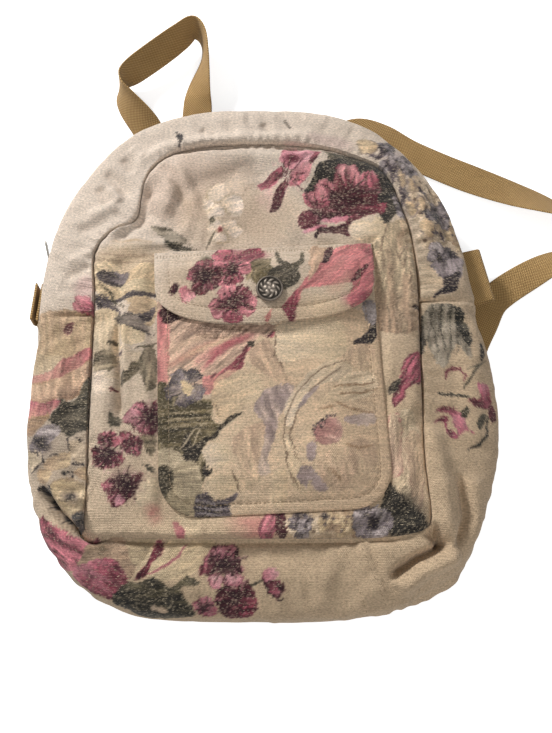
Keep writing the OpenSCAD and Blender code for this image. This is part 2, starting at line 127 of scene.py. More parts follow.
# Gusset pieces: name, first and last angle, columns and rows of the net, part of the section, seed, flat size
GUSSETS = (
    ("zip_gusset_front", ZIP_LEFT, ZIP_RIGHT, 520, 46, "front", 61, (0.065, 0.56)),
    ("zip_gusset_rear", ZIP_LEFT, ZIP_RIGHT, 346, 31, "rear", 62, (0.055, 0.50)),
    ("lower_gusset_left", GUSSET_SEAM, ZIP_LEFT, 358, 112, "whole", 63, (0.16, 0.44)),
    ("lower_gusset_right", ZIP_RIGHT + 360.0, GUSSET_SEAM, 262, 130, "whole", 64, (0.18, 0.30)),
)
LOWER_LEFT = GUSSETS[2]

# Stitch lines in from the edges, in millimetres
POCKET_STITCH = 8.0
FLAP_STITCH = 11.0

# Zip in millimetres: the strip of tape that shows, one tooth with its narrower tip, and the cord in the teeth
TAPE_STRIP = (5.2, 1.0)
TAPE_OFF = 5.4
CHAIN_OFF = 1.7
TOOTH = (2.8, 1.6, 2.2)
TOOTH_TIP = 0.72
TOOTH_BEVEL = 0.22
CORD = (1.8, 0.88)
CORD_OFF = 0.66
CORD_STEPS = 240

# Folded tabs in millimetres: webbing, length of a leg, radius of the fold, and where the legs start
TAB_THICK = 1.5
TAB_LEG = 13.8
TAB_BEND = 2.4
TAB_R = 170.0
TAB_TOP = 26.5
TAB_INNER = 166.8

# The tabs: name, first and last angle, and whether the legs stand up
TABS = (
    ("zip_tab_left", 179.0, 169.0, True),
    ("zip_tab_right", 20.5, 6.0, False),
)

# Button in millimetres: its radius, and the radius and height of each step down its side
BUTTON_R = 10.0
BUTTON_RINGS = 40
BUTTON_SIDE_R = (9.6, 9.9, 10.0, 9.95, 9.7, 0.0)
BUTTON_SIDE_Z = (2.3, 1.9, 1.4, 0.6, 0.0, 0.0)

# Simulation of the slack cloth: size of its cells in millimetres, frames, and the most that it moves a point
SETTLE_CELL = 4.0
SETTLE_FRAMES = 24
SETTLE_MOST = 4.5

# Threads in millimetres: steps of the print, how far outlines wander and jump, and the pitch of each weave
THREAD_STEP = 0.9
WANDER = 1.5
JAG = 1.3
WEFT_PITCH = 1.15
WARP_PITCH = 1.5
WEBBING_PITCH = 1.9
TAPE_PITCH = 1.3
TAPE_RIB = 0.8
TWIST_PITCH = 0.45
LINING = "b7a68f"
PALE_THREAD = "cbb99d"
GOLDEN_ANGLE = 137.50775

# The view of the photograph: millimetres for a pixel, distance, elevation, place looked at, pixels upwards
VIEW_SCALE = 0.76
VIEW_DISTANCE = 900.0
VIEW_ELEVATION = 73.0
VIEW_TARGET = (14.59, -32.53, 20.0)
VIEW_HEIGHT = 733.0
SENSOR = 36.0

# Light: the even level all round, the floor's own level in view, and the lamps with place, size and power
WORLD_LIGHT = 0.27
FLOOR_GLOW = 0.7
FLOOR_GREY = (0.8, 0.8, 0.8, 1.0)
WHITE = (1.0, 1.0, 1.0, 1.0)
LAMPS = (
    ("key_lamp", (-1.1, 1.3, 0.95), 0.42, 43.5),
    ("fill_lamp", (0.5, -1.2, 1.4), 1.2, 11.0),
)

# Petals of each kind of flower: deep, middle and pale colour, and the heart
FLOWERS = {
    "burgundy": ("4e1e29", "7a343e", "a55f68", "2d1218"),
    "rose": ("6e2f3b", "974e59", "c18284", "3d1921"),
    "cream": ("9c866e", "c4ad90", "d9c3a9", "665041"),
    "yellow": ("89715c", "b89e7b", "d0b895", "5b4e52"),
    "lilac": ("5a4f53", "857978", "ab9e99", "382e35"),
    "violet": ("453b41", "65595d", "928785", "281f26"),
}

# The print on each cloth: the name of a shape and its values, in millimetres and degrees
FRONT_PRINT = [
    # Top left: pale ground, two small cream flowers and a grey leaf
    ("wash", -52, 102, 46, 30, 0, "cbb4a2", 0.7),
    ("wash", -5, 81, 46, 23, 0, "c9b198", 0.6),
    ("wash", -27, 79, 38, 40, 0, "b39b83", 0.4),
    ("fields", [[(-40, 97), (-35, 105), (-25, 107), (-22, 100), (-27, 91), (-34, 91)],
     [(-28, 91), (-21, 98), (-12, 94), (-11, 82), (-19, 78), (-25, 84)],
     [(-32, 89), (-25, 85), (-27, 77), (-35, 76), (-39, 83)],
     [(-42, 94), (-33, 90), (-36, 84), (-42, 85)], [(-39, 70), (-32, 76), (-25, 71), (-28, 66),
     (-36, 65)], [(-27, 72), (-20, 75), (-11, 70), (-14, 62), (-23, 64)],
     [(-32, 65), (-23, 64), (-20, 58), (-29, 55), (-35, 59)]], "e9d5c3", "d3bea6", 200, 0.7, "a89376"),
    ("field", [(-17, 115), (-12, 114), (-10, 102), (-15, 97), (-18, 103)],
     "d8c4b2", "cdb9a2", 0, 0.3, "", 0.6),
    ("stroke", [(-33, 78), (-35, 73)], 3.6, "554d3a", 0.9),
    ("stroke", [(-32, 65), (-38, 52)], 1.7, "665c4c", 0.9),
    ("stroke", [(-80, 72), (-66, 68), (-55, 59), (-48, 52)], 1.1, "57503f", 0.85),
    ("petal", -25, 97, 71, 18, 8, "d3bda6", "dec9b3", "", 0.6, 1.0, 0.3, 0.7),
    ("dot", -28, 67, 1.8, "9d4847", 1.0),
    ("field", [(-81, 72), (-74, 70), (-63, 67), (-56, 61), (-54, 56), (-58, 55), (-68, 53), (-70, 58),
     (-75, 64)], "8f8372", "a59785", 0, 0.7, "4a4338"),
    ("field", [(-70, 58), (-61, 57), (-52, 52), (-44, 51), (-53, 50), (-67, 52)],
     "3f3a32", "554e3f", 0, 0.6),
    ("smear", [(-109, 58), (-93, 59), (-80, 57)], 3, "b39a7d", 0.6),
    ("smear", [(-66, 108), (-59, 99), (-52, 81)], 4, "b7a089", 0.45),
    # Mauve flower with narrow petals
    ("smear", [(4, 92), (10, 101), (10, 87)], 7, "d3b0a4", 0.7),
    ("field", [(17, 123), (20, 133), (26, 138), (47, 133), (49, 130), (42, 123), (40, 116), (35, 118),
     (28, 117)], "bd7b82", "c7979a", 20, 0.9, "a85f6a"),
    ("field", [(28, 117), (38, 124), (42, 119), (37, 110), (28, 103), (24, 106)],
     "c79694", "bd747a", 250, 0.7),
    ("field", [(40, 126), (46, 133), (49, 131), (45, 125), (41, 121)], "76323e", "964e59", 40, 0.7),
    ("field", [(0, 103), (3, 108), (15, 118), (22, 117), (14, 106), (5, 102)],
     "964e59", "b56f78", 220, 0.9),
    ("field", [(11, 82), (10, 85), (15, 101), (20, 107), (24, 105), (21, 96), (17, 85)],
     "873e4b", "5c2731", 250, 0.8),
    ("smear", [(22, 125), (28, 126), (33, 125)], 4, "873e4b", 0.8),
    # Dark foliage behind the large rose flower
    ("field", [(25, 103), (36, 101), (43, 112), (48, 122), (58, 125), (70, 132), (87, 125), (104, 116),
     (107, 101), (113, 87), (105, 79), (97, 70), (93, 74), (90, 83), (53, 89), (38, 98), (31, 101)],
     "2f2a27", "3f3832", 0, 0.5),
    ("field", [(49, 135), (59, 133), (70, 132), (58, 125), (53, 130)], "7a6e5c", "554d3f", 0, 0.7),
    ("smear", [(70, 125), (75, 130)], 5, "6a6053", 0.6),
    # Large rose flower
    ("field", [(36, 98), (44, 101), (45, 107), (52, 110), (59, 105), (58, 94), (55, 85), (41, 85),
     (36, 92)], "9f515d", "bf8484", 100, 0.8, "7e3642"),
    ("field", [(61, 118), (66, 122), (71, 121), (74, 123), (77, 120), (79, 109), (75, 101), (60, 99)],
     "7c333f", "c08a88", 90, 0.9, "8d424f"),
    ("field", [(79, 112), (84, 116), (90, 115), (95, 103), (92, 97), (80, 99)],
     "7e3642", "ae656e", 90, 0.8, "c79a96"),
    ("field", [(57, 101), (89, 101), (91, 85), (81, 78), (72, 76), (48, 76), (40, 83), (55, 85)],
     "5c2630", "76323e", 0, 0.8),
    ("field", [(32, 78), (41, 83), (48, 77), (48, 70), (38, 67), (33, 71)],
     "76313e", "964e5b", 180, 0.7, "4e202a"),
    ("field", [(86, 87), (98, 89), (97, 80), (89, 80), (74, 75), (69, 73), (69, 80)],
     "6c2c37", "8f4450", 0, 0.7),
    ("field", [(48, 76), (59, 78), (70, 80), (72, 77), (56, 73)], "c99398", "bc737d", 0, 0.5),
    ("field", [(35, 67), (53, 72), (48, 67), (38, 65)], "cfa0a4", "bc737d", 0, 0.5),
    ("field", [(48, 68), (69, 73), (73, 74), (72, 61), (61, 65), (48, 63)], "57242e", "6c2f3a", 0, 0.7),
    ("field", [(43, 63), (48, 65), (46, 60), (44, 61)], "391f29", "3d1b25", 0, 0.3),
    ("smear", [(41, 90), (51, 90)], 3, "7e3642", 0.6),
    ("rays", 70, 94, 0.55, 24.7, 9, "c08a8c", 0.5),
    ("rays", 70, 94, 0.1, 24.7, 11, "3d1520", 0.75),
    ("rays", 48, 87, 0.55, 14.0, 9, "cfa09c", 0.5),
    ("rays", 48, 87, 0.1, 14.0, 11, "5c232f", 0.75),
    ("rays", 24, 113, 0.55, 15.7, 9, "cfa6a2", 0.5),
    ("rays", 24, 113, 0.1, 15.7, 11, "5c232f", 0.75),
    ("cluster", 113, 94, 7, 9, 6, 4.6, "lilac"),
    ("field", [(105, 89), (113, 90), (114, 77), (107, 79)], "6a5f62", "a09591", 0, 0.9),
    # Cream petals on the right of the flap
    ("field", [(72, 72), (87, 72), (98, 72), (106, 75), (115, 74), (121, 64), (125, 55), (123, 32),
     (120, -12), (91, -12), (88, 23), (87, 43), (83, 57), (72, 63)], "cbb494", "9d846d", 270, 1.0),
    ("field", [(72, 72), (78, 76), (87, 72), (91, 79), (96, 71), (95, 59), (84, 57), (71, 62)],
     "dcc7ad", "cbb494", 0, 0.5),
    ("strokes", [[(98, 71), (94, 53), (96, 32)], [(105, 50), (109, 36), (114, 53)],
     [(112, 72), (114, 55), (107, 45)], [(101, 41), (103, 14), (101, -6)], [(93, 50), (99, 48)],
     [(113, 37), (115, 14)]], 1.3, "856f5b", 0.8),
    ("leaf", 121, 5, -175, 8, 3, "4a3a34", "4a3a34"),
    # Right of the pocket, below
    ("field", [(99, -66), (106, -45), (109, -35), (115, -30), (121, -31), (120, -53), (111, -57),
     (105, -68), (100, -72)], "8d424f", "ab616c", 60, 1.0, "76303e"),
    ("leaf", 97, -62, 53, 15, 6, "4a4138", "5b5146"),
    ("petal", 107, -158, 89, 84, 21, "c7b091", "cdb799", "b48d7a", 0.62, 0.8, 0.7),
    ("petal", 101, -125, 92, 48, 11, "b69984", "c5ad91", "ab746e", 0.6, 0.9, 0.7),
    ("petal", 115, -151, 92, 62, 11, "b79c82", "c0a78a", "a48573", 0.6, 0.9, 0.8),
    ("wash", 108, -107, 5, 15, 0, "a58974", 0.4),
    ("leaf", 105, -172, 103, 48, 20, "2f2a25", "4d463c"),
    ("leaf", 120, -172, 125, 35, 23, "2f2a25", "4d463c"),
    ("wash", 104, -154, 14, 17, 0, "353029", 0.8),
    # Left of the pocket: pale petals with grey-violet edges
    ("wash", -100, 40, 30, 14, 0, "c2a98a", 0.8),
    ("stroke", [(-125, 50), (-104, 46), (-77, 47)], 2.3, "9d856f", 0.5),
    ("stroke", [(-123, 44), (-100, 41), (-76, 42)], 1.5, "957e6a", 0.5),
    ("petal", -101, 12, 125, 33, 23, "c7af8d", "d3bc9c", "", 0.6, 0.75, 0.6),
    ("petal", -96, 8, 56, 36, 26, "bfa585", "cdb593", "", 0.6, 0.75, 0.6),
    ("petal", -95, 4, -17, 22, 23, "bda283", "d0b897", "", 0.6, 0.75, 0.6),
    ("petal", -96, -3, -69, 23, 18, "c6ae8d", "d6c0a0", "", 0.6, 0.75),
    ("field", [(-120, 33), (-109, 34), (-96, 32), (-99, 25), (-103, 22), (-115, 25)],
     "4a3f43", "756a69", 340, 0.8),
    ("field", [(-121, 15), (-110, 13), (-103, 3), (-99, -6), (-109, -4), (-118, 6)],
     "4a3f43", "756a69", 300, 0.8),
    ("field", [(-98, 0), (-84, -2), (-75, 5), (-78, -6), (-92, -9)], "453b40", "6a5e60", 0, 0.7),
    ("stroke", [(-106, 11), (-91, 15), (-76, 14)], 4.6, "5d5254", 0.95),
    ("stroke", [(-117, 25), (-110, 17), (-105, 9), (-98, 5)], 1.5, "574f3f", 0.9),
    ("field", [(-105, 20), (-87, 27), (-76, 23), (-76, 17), (-93, 17)], "d2bd9d", "c6b08e", 0, 0.5),
    # Small white flowers and olive leaves
    ("field", [(-121, 3), (-103, 1), (-101, -23), (-103, -33), (-120, -34)],
     "c9b59a", "bfa98b", 90, 0.6),
    ("field", [(-106, -2), (-88, -3), (-78, -17), (-85, -15), (-97, -11), (-103, -7)],
     "70645a", "8d7f74", 0, 0.7),
    ("stroke", [(-97, -11), (-86, -14), (-75, -17)], 1.4, "4c4445", 0.8),
    ("field", [(-88, -28), (-81, -25), (-74, -24), (-79, -27)], "5d5242", "6b604f", 0, 0.5),
    ("field", [(-120, -34), (-115, -30), (-105, -30), (-103, -40), (-111, -45), (-119, -42)],
     "857763", "a09078", 0, 0.9, "5d5242"),
    ("field", [(-108, -21), (-103, -22), (-104, -25), (-108, -24)], "6b604f", "5d5242", 0, 0.5),
    ("field", [(-102, -49), (-95, -44), (-91, -39), (-85, -35), (-84, -44), (-90, -51), (-99, -56)],
     "665a46", "7d6f5b", 0, 0.8),
    ("field", [(-84, -33), (-81, -28), (-74, -29), (-73, -56), (-79, -62), (-82, -52), (-85, -45)],
     "776a56", "958670", 90, 0.9, "554b3c"),
    ("field", [(-103, -32), (-100, -27), (-95, -26), (-91, -29), (-84, -33), (-86, -38), (-91, -39),
     (-93, -45), (-99, -44), (-102, -38)], "d6c2ab", "c9b398", 0, 0.5),
    ("field", [(-119, -45), (-110, -44), (-101, -46), (-101, -58), (-110, -62), (-118, -62)],
     "dac6b3", "cbb79d"),
    ("stroke", [(-101, -31), (-98, -33)], 2.8, "573e49", 0.9),
    ("stroke", [(-106, -58), (-102, -59)], 3.0, "702f37", 0.9),
    # Burgundy blossoms on the left
    ("field", [(-107, -76), (-103, -78), (-98, -80), (-98, -86), (-105, -86)],
     "554f3f", "6d6454", 0, 0.7),
    ("field", [(-84, -93), (-73, -92), (-73, -107), (-77, -107), (-82, -98)],
     "5f543f", "7d6f5b", 0, 0.8),
    ("field", [(-81, -114), (-73, -117), (-73, -121), (-79, -118)], "423d2f", "5d5344", 0, 0.5),
    ("field", [(-92, -74), (-87, -69), (-80, -69), (-77, -75), (-73, -67), (-72, -91), (-84, -92),
     (-91, -85), (-98, -80)], "bf8a8c", "873e4b", 330, 0.9, "5c2731"),
    ("smear", [(-77, -78), (-73, -85)], 10, "461829", 0.95),
    ("field", [(-114, -97), (-111, -92), (-102, -91), (-97, -97), (-98, -101), (-108, -101)],
     "873e4b", "ab616a", 30, 0.9),
    ("field", [(-98, -91), (-89, -91), (-82, -98), (-82, -106), (-88, -109), (-94, -106), (-97, -98)],
     "873e4b", "ae6972", 300, 0.9, "57222d"),
    ("field", [(-118, -102), (-108, -102), (-99, -105), (-94, -109), (-95, -116), (-103, -118),
     (-114, -116), (-117, -111)], "6c2935", "924854", 0, 0.9),
    ("smear", [(-108, -107), (-101, -108)], 7, "331f2b", 0.9),
    ("field", [(-110, -129), (-101, -125), (-92, -125), (-80, -120), (-83, -129), (-87, -138),
     (-91, -141), (-98, -146), (-102, -145), (-105, -137)], "a85f6a", "6c2935", 330, 1.0),
    ("field", [(-100, -140), (-95, -137), (-92, -141), (-98, -145)], "c59a9a", "bc7c86", 0, 0.6),
    ("smear", [(-95, -129), (-89, -130)], 13, "31111b", 1.0),
    ("rays", -77, -81, 0.55, 15.1, 9, "d6aaa6", 0.5),
    ("rays", -77, -81, 0.1, 15.1, 11, "3b1520", 0.75),
    ("rays", -105, -97, 0.55, 7.2, 9, "d6aaa6", 0.5),
    ("rays", -105, -97, 0.1, 7.2, 11, "3b1520", 0.75),
    ("rays", -90, -101, 0.55, 9.1, 9, "d6aaa6", 0.5),
    ("rays", -90, -101, 0.1, 9.1, 11, "3b1520", 0.75),
    ("rays", -105, -108, 0.55, 11.6, 9, "d6aaa6", 0.5),
    ("rays", -105, -108, 0.1, 11.6, 11, "3b1520", 0.75),
    ("rays", -93, -130, 0.55, 14.5, 9, "d6aaa6", 0.5),
    ("rays", -93, -130, 0.1, 14.5, 11, "3b1520", 0.75),
    ("field", [(-82, -129), (-71, -125), (-70, -140), (-85, -144)],
     "d0bc9f", "c9b495", 0, 0.4, "", 0.8),
    ("smear", [(-74, -146), (-71, -152)], 7, "bd8076", 0.8),
    # Along the bottom of the panel
    ("petal", -42, -168, 116, 24, 15, "c6af90", "cdb697", "", 0.6, 0.8),
    ("stroke", [(-56, -156), (-53, -163), (-54, -171)], 6.1, "ab656a", 0.75),
    ("wash", 0, -159, 20, 7, 0, "be7e76", 0.75),
    ("wash", -21, -161, 15, 6, 0, "c4ac8e", 0.6),
    ("petal", 5, -170, 72, 22, 12, "a55e68", "bc7a7e", "8f4854", 0.6, 0.7, 0.9),
    ("petal", 19, -168, 94, 20, 9, "501f28", "702f3b", "", 0.6, 0.7, 0.6),
    ("cluster", 40, -157, 17, 8, 8, 6.1, "cream"),
    ("cluster", 32, -159, 8, 6, 4, 5.3, "lilac"),
    ("cluster", 60, -156, 12, 8, 6, 6.1, "yellow"),
    ("blossom", 84, -156, 14, 10, 6, "lilac"),
    ("dot", 84, -157, 3.8, "342a32", 0.9),
    ("dot", 50, -152, 2.3, "3a2f35", 0.8),
    ("dot", 30, -151, 3.0, "4a3e44", 0.8),
]
POCKET_PRINT = [
    # Pink and orange flower under the flap, streaks fanned from its heart
    ("field", [(-76, 8), (28, 8), (27, -14), (-3, -36), (-30, -63), (-74, -65)],
     "b59682", "c3a58e", 215, 0.9),
    ("field", [(-75, -3), (-65, -3), (-64, -44), (-66, -59), (-73, -60)], "b4666a", "c28b80", 270, 0.8),
    ("field", [(23, -12), (4, -22), (-12, -36), (-26, -48), (-39, -53), (-33, -64), (-27, -58),
     (-20, -53), (-14, -48), (-7, -44), (-2, -25), (12, -23), (16, -14)], "a65762", "c08078", 230, 0.9),
    ("field", [(-5, -26), (-12, -36), (-19, -48), (-22, -53), (-14, -48), (-9, -45), (-7, -35)],
     "7e333f", "a65762", 230, 0.7),
    ("smear", [(-3, -19), (-23, -28), (-42, -40)], 5, "b46668", 0.7),
    ("smear", [(-12, -24), (-27, -33), (-39, -46)], 3, "ab5c62", 0.7),
    ("smear", [(-29, -25), (-48, -34), (-63, -41)], 4, "bf7f70", 0.5),
    ("smear", [(-19, -22), (-39, -31), (-54, -36)], 3, "d0b292", 0.8),
    ("smear", [(-33, -20), (-52, -26), (-65, -31)], 4, "c6a78d", 0.7),
    ("comb", [(-55, -13), (-29, -14), (-5, -14)], [(-40, -21), (-29, -22), (-10, -21)],
     5, 0.7, "674e3d", "674e3d", 0.6),
    ("field", [(-70, 8), (-57, -3), (-58, -7), (-70, -8)], "57242d", "401b23", 0, 0.5),
    ("field", [(-7, -25), (2, -25), (-4, -31)], "493b30", "382d27", 0, 0.3),
    ("field", [(-38, -53), (-28, -56), (-33, -65), (-37, -63)], "c98d84", "c08078", 0, 0.6),
    # Leaves on the left
    ("field", [(-74, -58), (-64, -57), (-53, -68), (-38, -68), (-30, -70), (-24, -88), (-32, -101),
     (-36, -112), (-30, -122), (-36, -128), (-37, -139), (-41, -151), (-63, -149), (-72, -123)],
     "6b5f44", "8f8068", 270, 0.9),
    ("field", [(-72, -77), (-33, -70), (-31, -82), (-28, -89), (-41, -101), (-53, -105), (-69, -100)],
     "5c5138", "75674c", 0, 0.8),
    ("field", [(-41, -100), (-30, -94), (-25, -88), (-27, -95), (-36, -102), (-38, -109), (-47, -118),
     (-51, -107)], "352d27", "453b30", 0, 0.5),
    ("field", [(-53, -104), (-49, -93), (-46, -96), (-46, -105), (-50, -108)], "3a322b", "352d27"),
    ("field", [(-36, -116), (-30, -120), (-36, -126)], "352b27", "403630"),
    ("field", [(-68, -103), (-55, -107), (-49, -115), (-59, -119), (-69, -116)],
     "a8987e", "b7a58a", 0, 0.6),
    ("field", [(-58, -119), (-48, -113), (-40, -117), (-38, -134), (-49, -143), (-59, -134)],
     "9c8c72", "b3a185", 0, 0.8),
    ("field", [(-69, -116), (-59, -119), (-60, -133), (-68, -136), (-71, -126)],
     "4c4436", "5d523f", 0, 0.7),
    ("field", [(-66, -139), (-52, -140), (-42, -139), (-42, -151), (-57, -148)],
     "8e7f66", "a29174", 0, 0.7),
    ("stroke", [(-54, -105), (-44, -91), (-38, -89)], 1.2, "b7a58a", 0.9),
    ("stroke", [(-45, -103), (-41, -94), (-39, -88)], 1.1, "b7a58a", 0.9),
    ("comb", [(-71, -79), (-53, -78), (-31, -77)], [(-71, -90), (-53, -90), (-29, -89)],
     6, 0.7, "b3a186", "2f2a26", 0.85),
    # Large pale peony with a scalloped edge
    ("field", [(15, -12), (12, -22), (2, -20), (-3, -30), (-8, -36), (-9, -45), (-16, -49), (-20, -53),
     (-28, -57), (-32, -65), (-31, -74), (-32, -82), (-27, -88), (-19, -82), (-11, -79), (-16, -85),
     (-25, -93), (-25, -96), (-36, -102), (-38, -109), (-35, -117), (-30, -122), (-36, -127),
     (-37, -136), (-29, -141), (-18, -139), (-13, -136), (-15, -140), (-19, -144), (-20, -155),
     (5, -162), (74, -151), (92, -138), (102, -117), (97, -34), (91, 1), (27, -7)],
     "d3ba9c", "c4a88a", 0, 0.35),
    ("field", [(-31, -57), (-19, -47), (-6, -49), (5, -57), (1, -70), (-12, -78), (-24, -86),
     (-31, -74)], "cfb899", "c0a686", 200, 0.7, "", 0.72),
    ("field", [(-37, -106), (-30, -101), (-19, -104), (-19, -116), (-28, -119), (-35, -116)],
     "dac6ae", "cdb797", 0, 0.5, "", 0.72),
    ("field", [(-35, -130), (-24, -123), (-11, -127), (-15, -136), (-27, -141), (-35, -136)],
     "d0ba9b", "c2aa89", 0, 0.6, "", 0.72),
    ("field", [(14, -16), (31, -6), (58, -6), (66, -20), (65, -33), (55, -39), (39, -38), (20, -41),
     (14, -35)], "d8c3a7", "cdb694", 0, 0.4, "", 0.72),
    ("field", [(-3, -29), (9, -24), (14, -35), (20, -47), (27, -59), (14, -55), (5, -49), (-4, -41)],
     "ab8b77", "c6a88b", 300, 0.9, "", 0.6),
    ("field", [(-17, -101), (-6, -89), (9, -87), (14, -93), (7, -112), (2, -130), (-13, -134),
     (-11, -119)], "b1917b", "ccb292", 280, 1.0, "", 0.55),
    ("field", [(65, -33), (76, -25), (87, -27), (87, -47), (76, -49), (68, -43)],
     "b79981", "c9af8f", 270, 0.9, "", 0.55),
    ("field", [(5, -64), (16, -58), (27, -59), (25, -68), (18, -80), (14, -95), (9, -112), (11, -122),
     (2, -124), (5, -104), (7, -89), (-1, -78)], "928081", "b39e90", 290, 1.0, "", 0.72),
    ("field", [(45, -112), (67, -104), (71, -119), (63, -134), (49, -130)],
     "c6ab8d", "b0927c", 280, 0.9, "", 0.55),
    ("field", [(67, -101), (82, -97), (87, -112), (80, -127), (69, -119)],
     "af917b", "c8af90", 280, 0.9, "", 0.5),
    ("field", [(70, -47), (85, -47), (88, -59), (75, -68), (60, -70), (46, -72), (55, -61)],
     "cbb292", "d8c2a4", 20, 0.8, "", 0.72),
    ("field", [(25, -66), (38, -49), (54, -39), (65, -39), (70, -47), (64, -55), (50, -57), (38, -64),
     (31, -76), (25, -89), (22, -86), (20, -76)], "dbc7af", "cfb99a", 40, 0.6, "", 0.72),
    ("field", [(20, -101), (25, -93), (31, -112), (39, -130), (31, -136), (23, -123)],
     "d6c0a2", "c7af8f", 290, 0.7, "", 0.72),
    ("field", [(11, -125), (20, -119), (23, -130), (21, -143), (11, -143)],
     "d2bb9c", "c3aa89", 0, 0.6, "", 0.72),
    ("field", [(31, -72), (38, -63), (46, -59), (38, -68), (31, -76)],
     "877679", "a39291", 0, 0.6, "", 0.72),
    ("field", [(36, -102), (43, -101), (42, -112), (38, -113)], "827175", "9c8a8b", 0, 0.6, "", 0.72),
    ("field", [(31, -119), (38, -117), (47, -127), (51, -134), (43, -134), (38, -127), (36, -134),
     (30, -127)], "877679", "a08e8f", 0, 0.7, "", 0.72),
    ("field", [(64, -82), (81, -78), (87, -80), (84, -86), (69, -87)],
     "978585", "ae9b92", 0, 0.6, "", 0.72),
    ("field", [(41, -93), (46, -86), (57, -82), (62, -89), (60, -99), (49, -102), (43, -99)],
     "a3696a", "bd958a", 340, 0.9, "", 0.72),
    ("strokes", [[(65, -39), (48, -45), (35, -57), (28, -66)], [(61, -45), (46, -57), (38, -63)],
     [(28, -66), (22, -82), (20, -99), (23, -119), (31, -134)],
     [(31, -76), (25, -93), (28, -108), (36, -119)], [(-30, -70), (-26, -82)],
     [(14, -16), (14, -35), (20, -47)], [(-17, -119), (-11, -134)]], 1.0, "775f4c", 0.85),
    ("strokes", [[(57, -59), (72, -57), (86, -54)], [(61, -64), (75, -63), (88, -59)],
     [(57, -70), (71, -76), (85, -78)], [(46, -76), (57, -74)], [(64, -102), (75, -104), (84, -102)],
     [(52, -119), (61, -127)]], 1.6, "8d7055", 0.8),
    ("strokes", [[(42, -88), (44, -89)], [(44, -86), (46, -87)], [(47, -84), (48, -85)],
     [(50, -82), (51, -83)], [(53, -81), (54, -82)], [(56, -80), (57, -81)], [(41, -91), (43, -92)],
     [(41, -94), (42, -95)], [(48, -84), (50, -86)], [(46, -88), (47, -89)]], 1.8, "46343e", 0.9),
    ("stroke", [(-11, -79), (-19, -83), (-25, -91)], 2.7, "322921", 0.95),
    ("field", [(84, -7), (89, -8), (89, -20), (80, -25), (71, -26), (75, -21), (82, -15)],
     "34262a", "2c2226", 0, 0.3),
    ("field", [(78, 8), (90, 8), (89, -8), (83, -8)], "8d827f", "a29691", 0, 0.7),
    # Purple morning glory
    ("petal", -50, -57, 50, 13, 11, "b3a090", "574d51", "463d42", 0.74, 0.6, 1.0),
    ("petal", -51, -57, 86, 11, 11, "9a8d8a", "574d51", "463d42", 0.74, 0.6, 1.0),
    ("petal", -52, -57, 120, 13, 11, "b3a090", "7a6f70", "463d42", 0.74, 0.6, 1.0),
    ("petal", -53, -58, 155, 11, 11, "9a8d8a", "574d51", "463d42", 0.74, 0.6, 1.0),
    ("petal", -53, -60, -167, 13, 11, "b3a090", "574d51", "463d42", 0.74, 0.6, 1.0),
    ("petal", -52, -61, -94, 13, 11, "b3a090", "574d51", "463d42", 0.74, 0.6, 1.0),
    ("petal", -50, -61, -60, 11, 11, "9a8d8a", "574d51", "463d42", 0.74, 0.6, 1.0),
    ("petal", -49, -60, -25, 13, 11, "b3a090", "7a6f70", "463d42", 0.74, 0.6, 1.0),
    ("field", [(-55, -53), (-49, -56), (-45, -60), (-49, -65), (-54, -60)], "cdb48e", "d3ba95", 0, 0.5),
    # Woven patch below the flower
    ("field", [(-42, -140), (-36, -136), (-29, -141), (-18, -139), (-12, -135), (-14, -140),
     (-19, -145), (-19, -156), (-42, -156)], "5f5457", "74686a", 0, 0.5),
    ("comb", [(-42, -141), (-29, -143), (-19, -142)], [(-41, -152), (-29, -153), (-19, -153)],
     6, 1.0, "a79b97", "2f262c", 0.75),
]
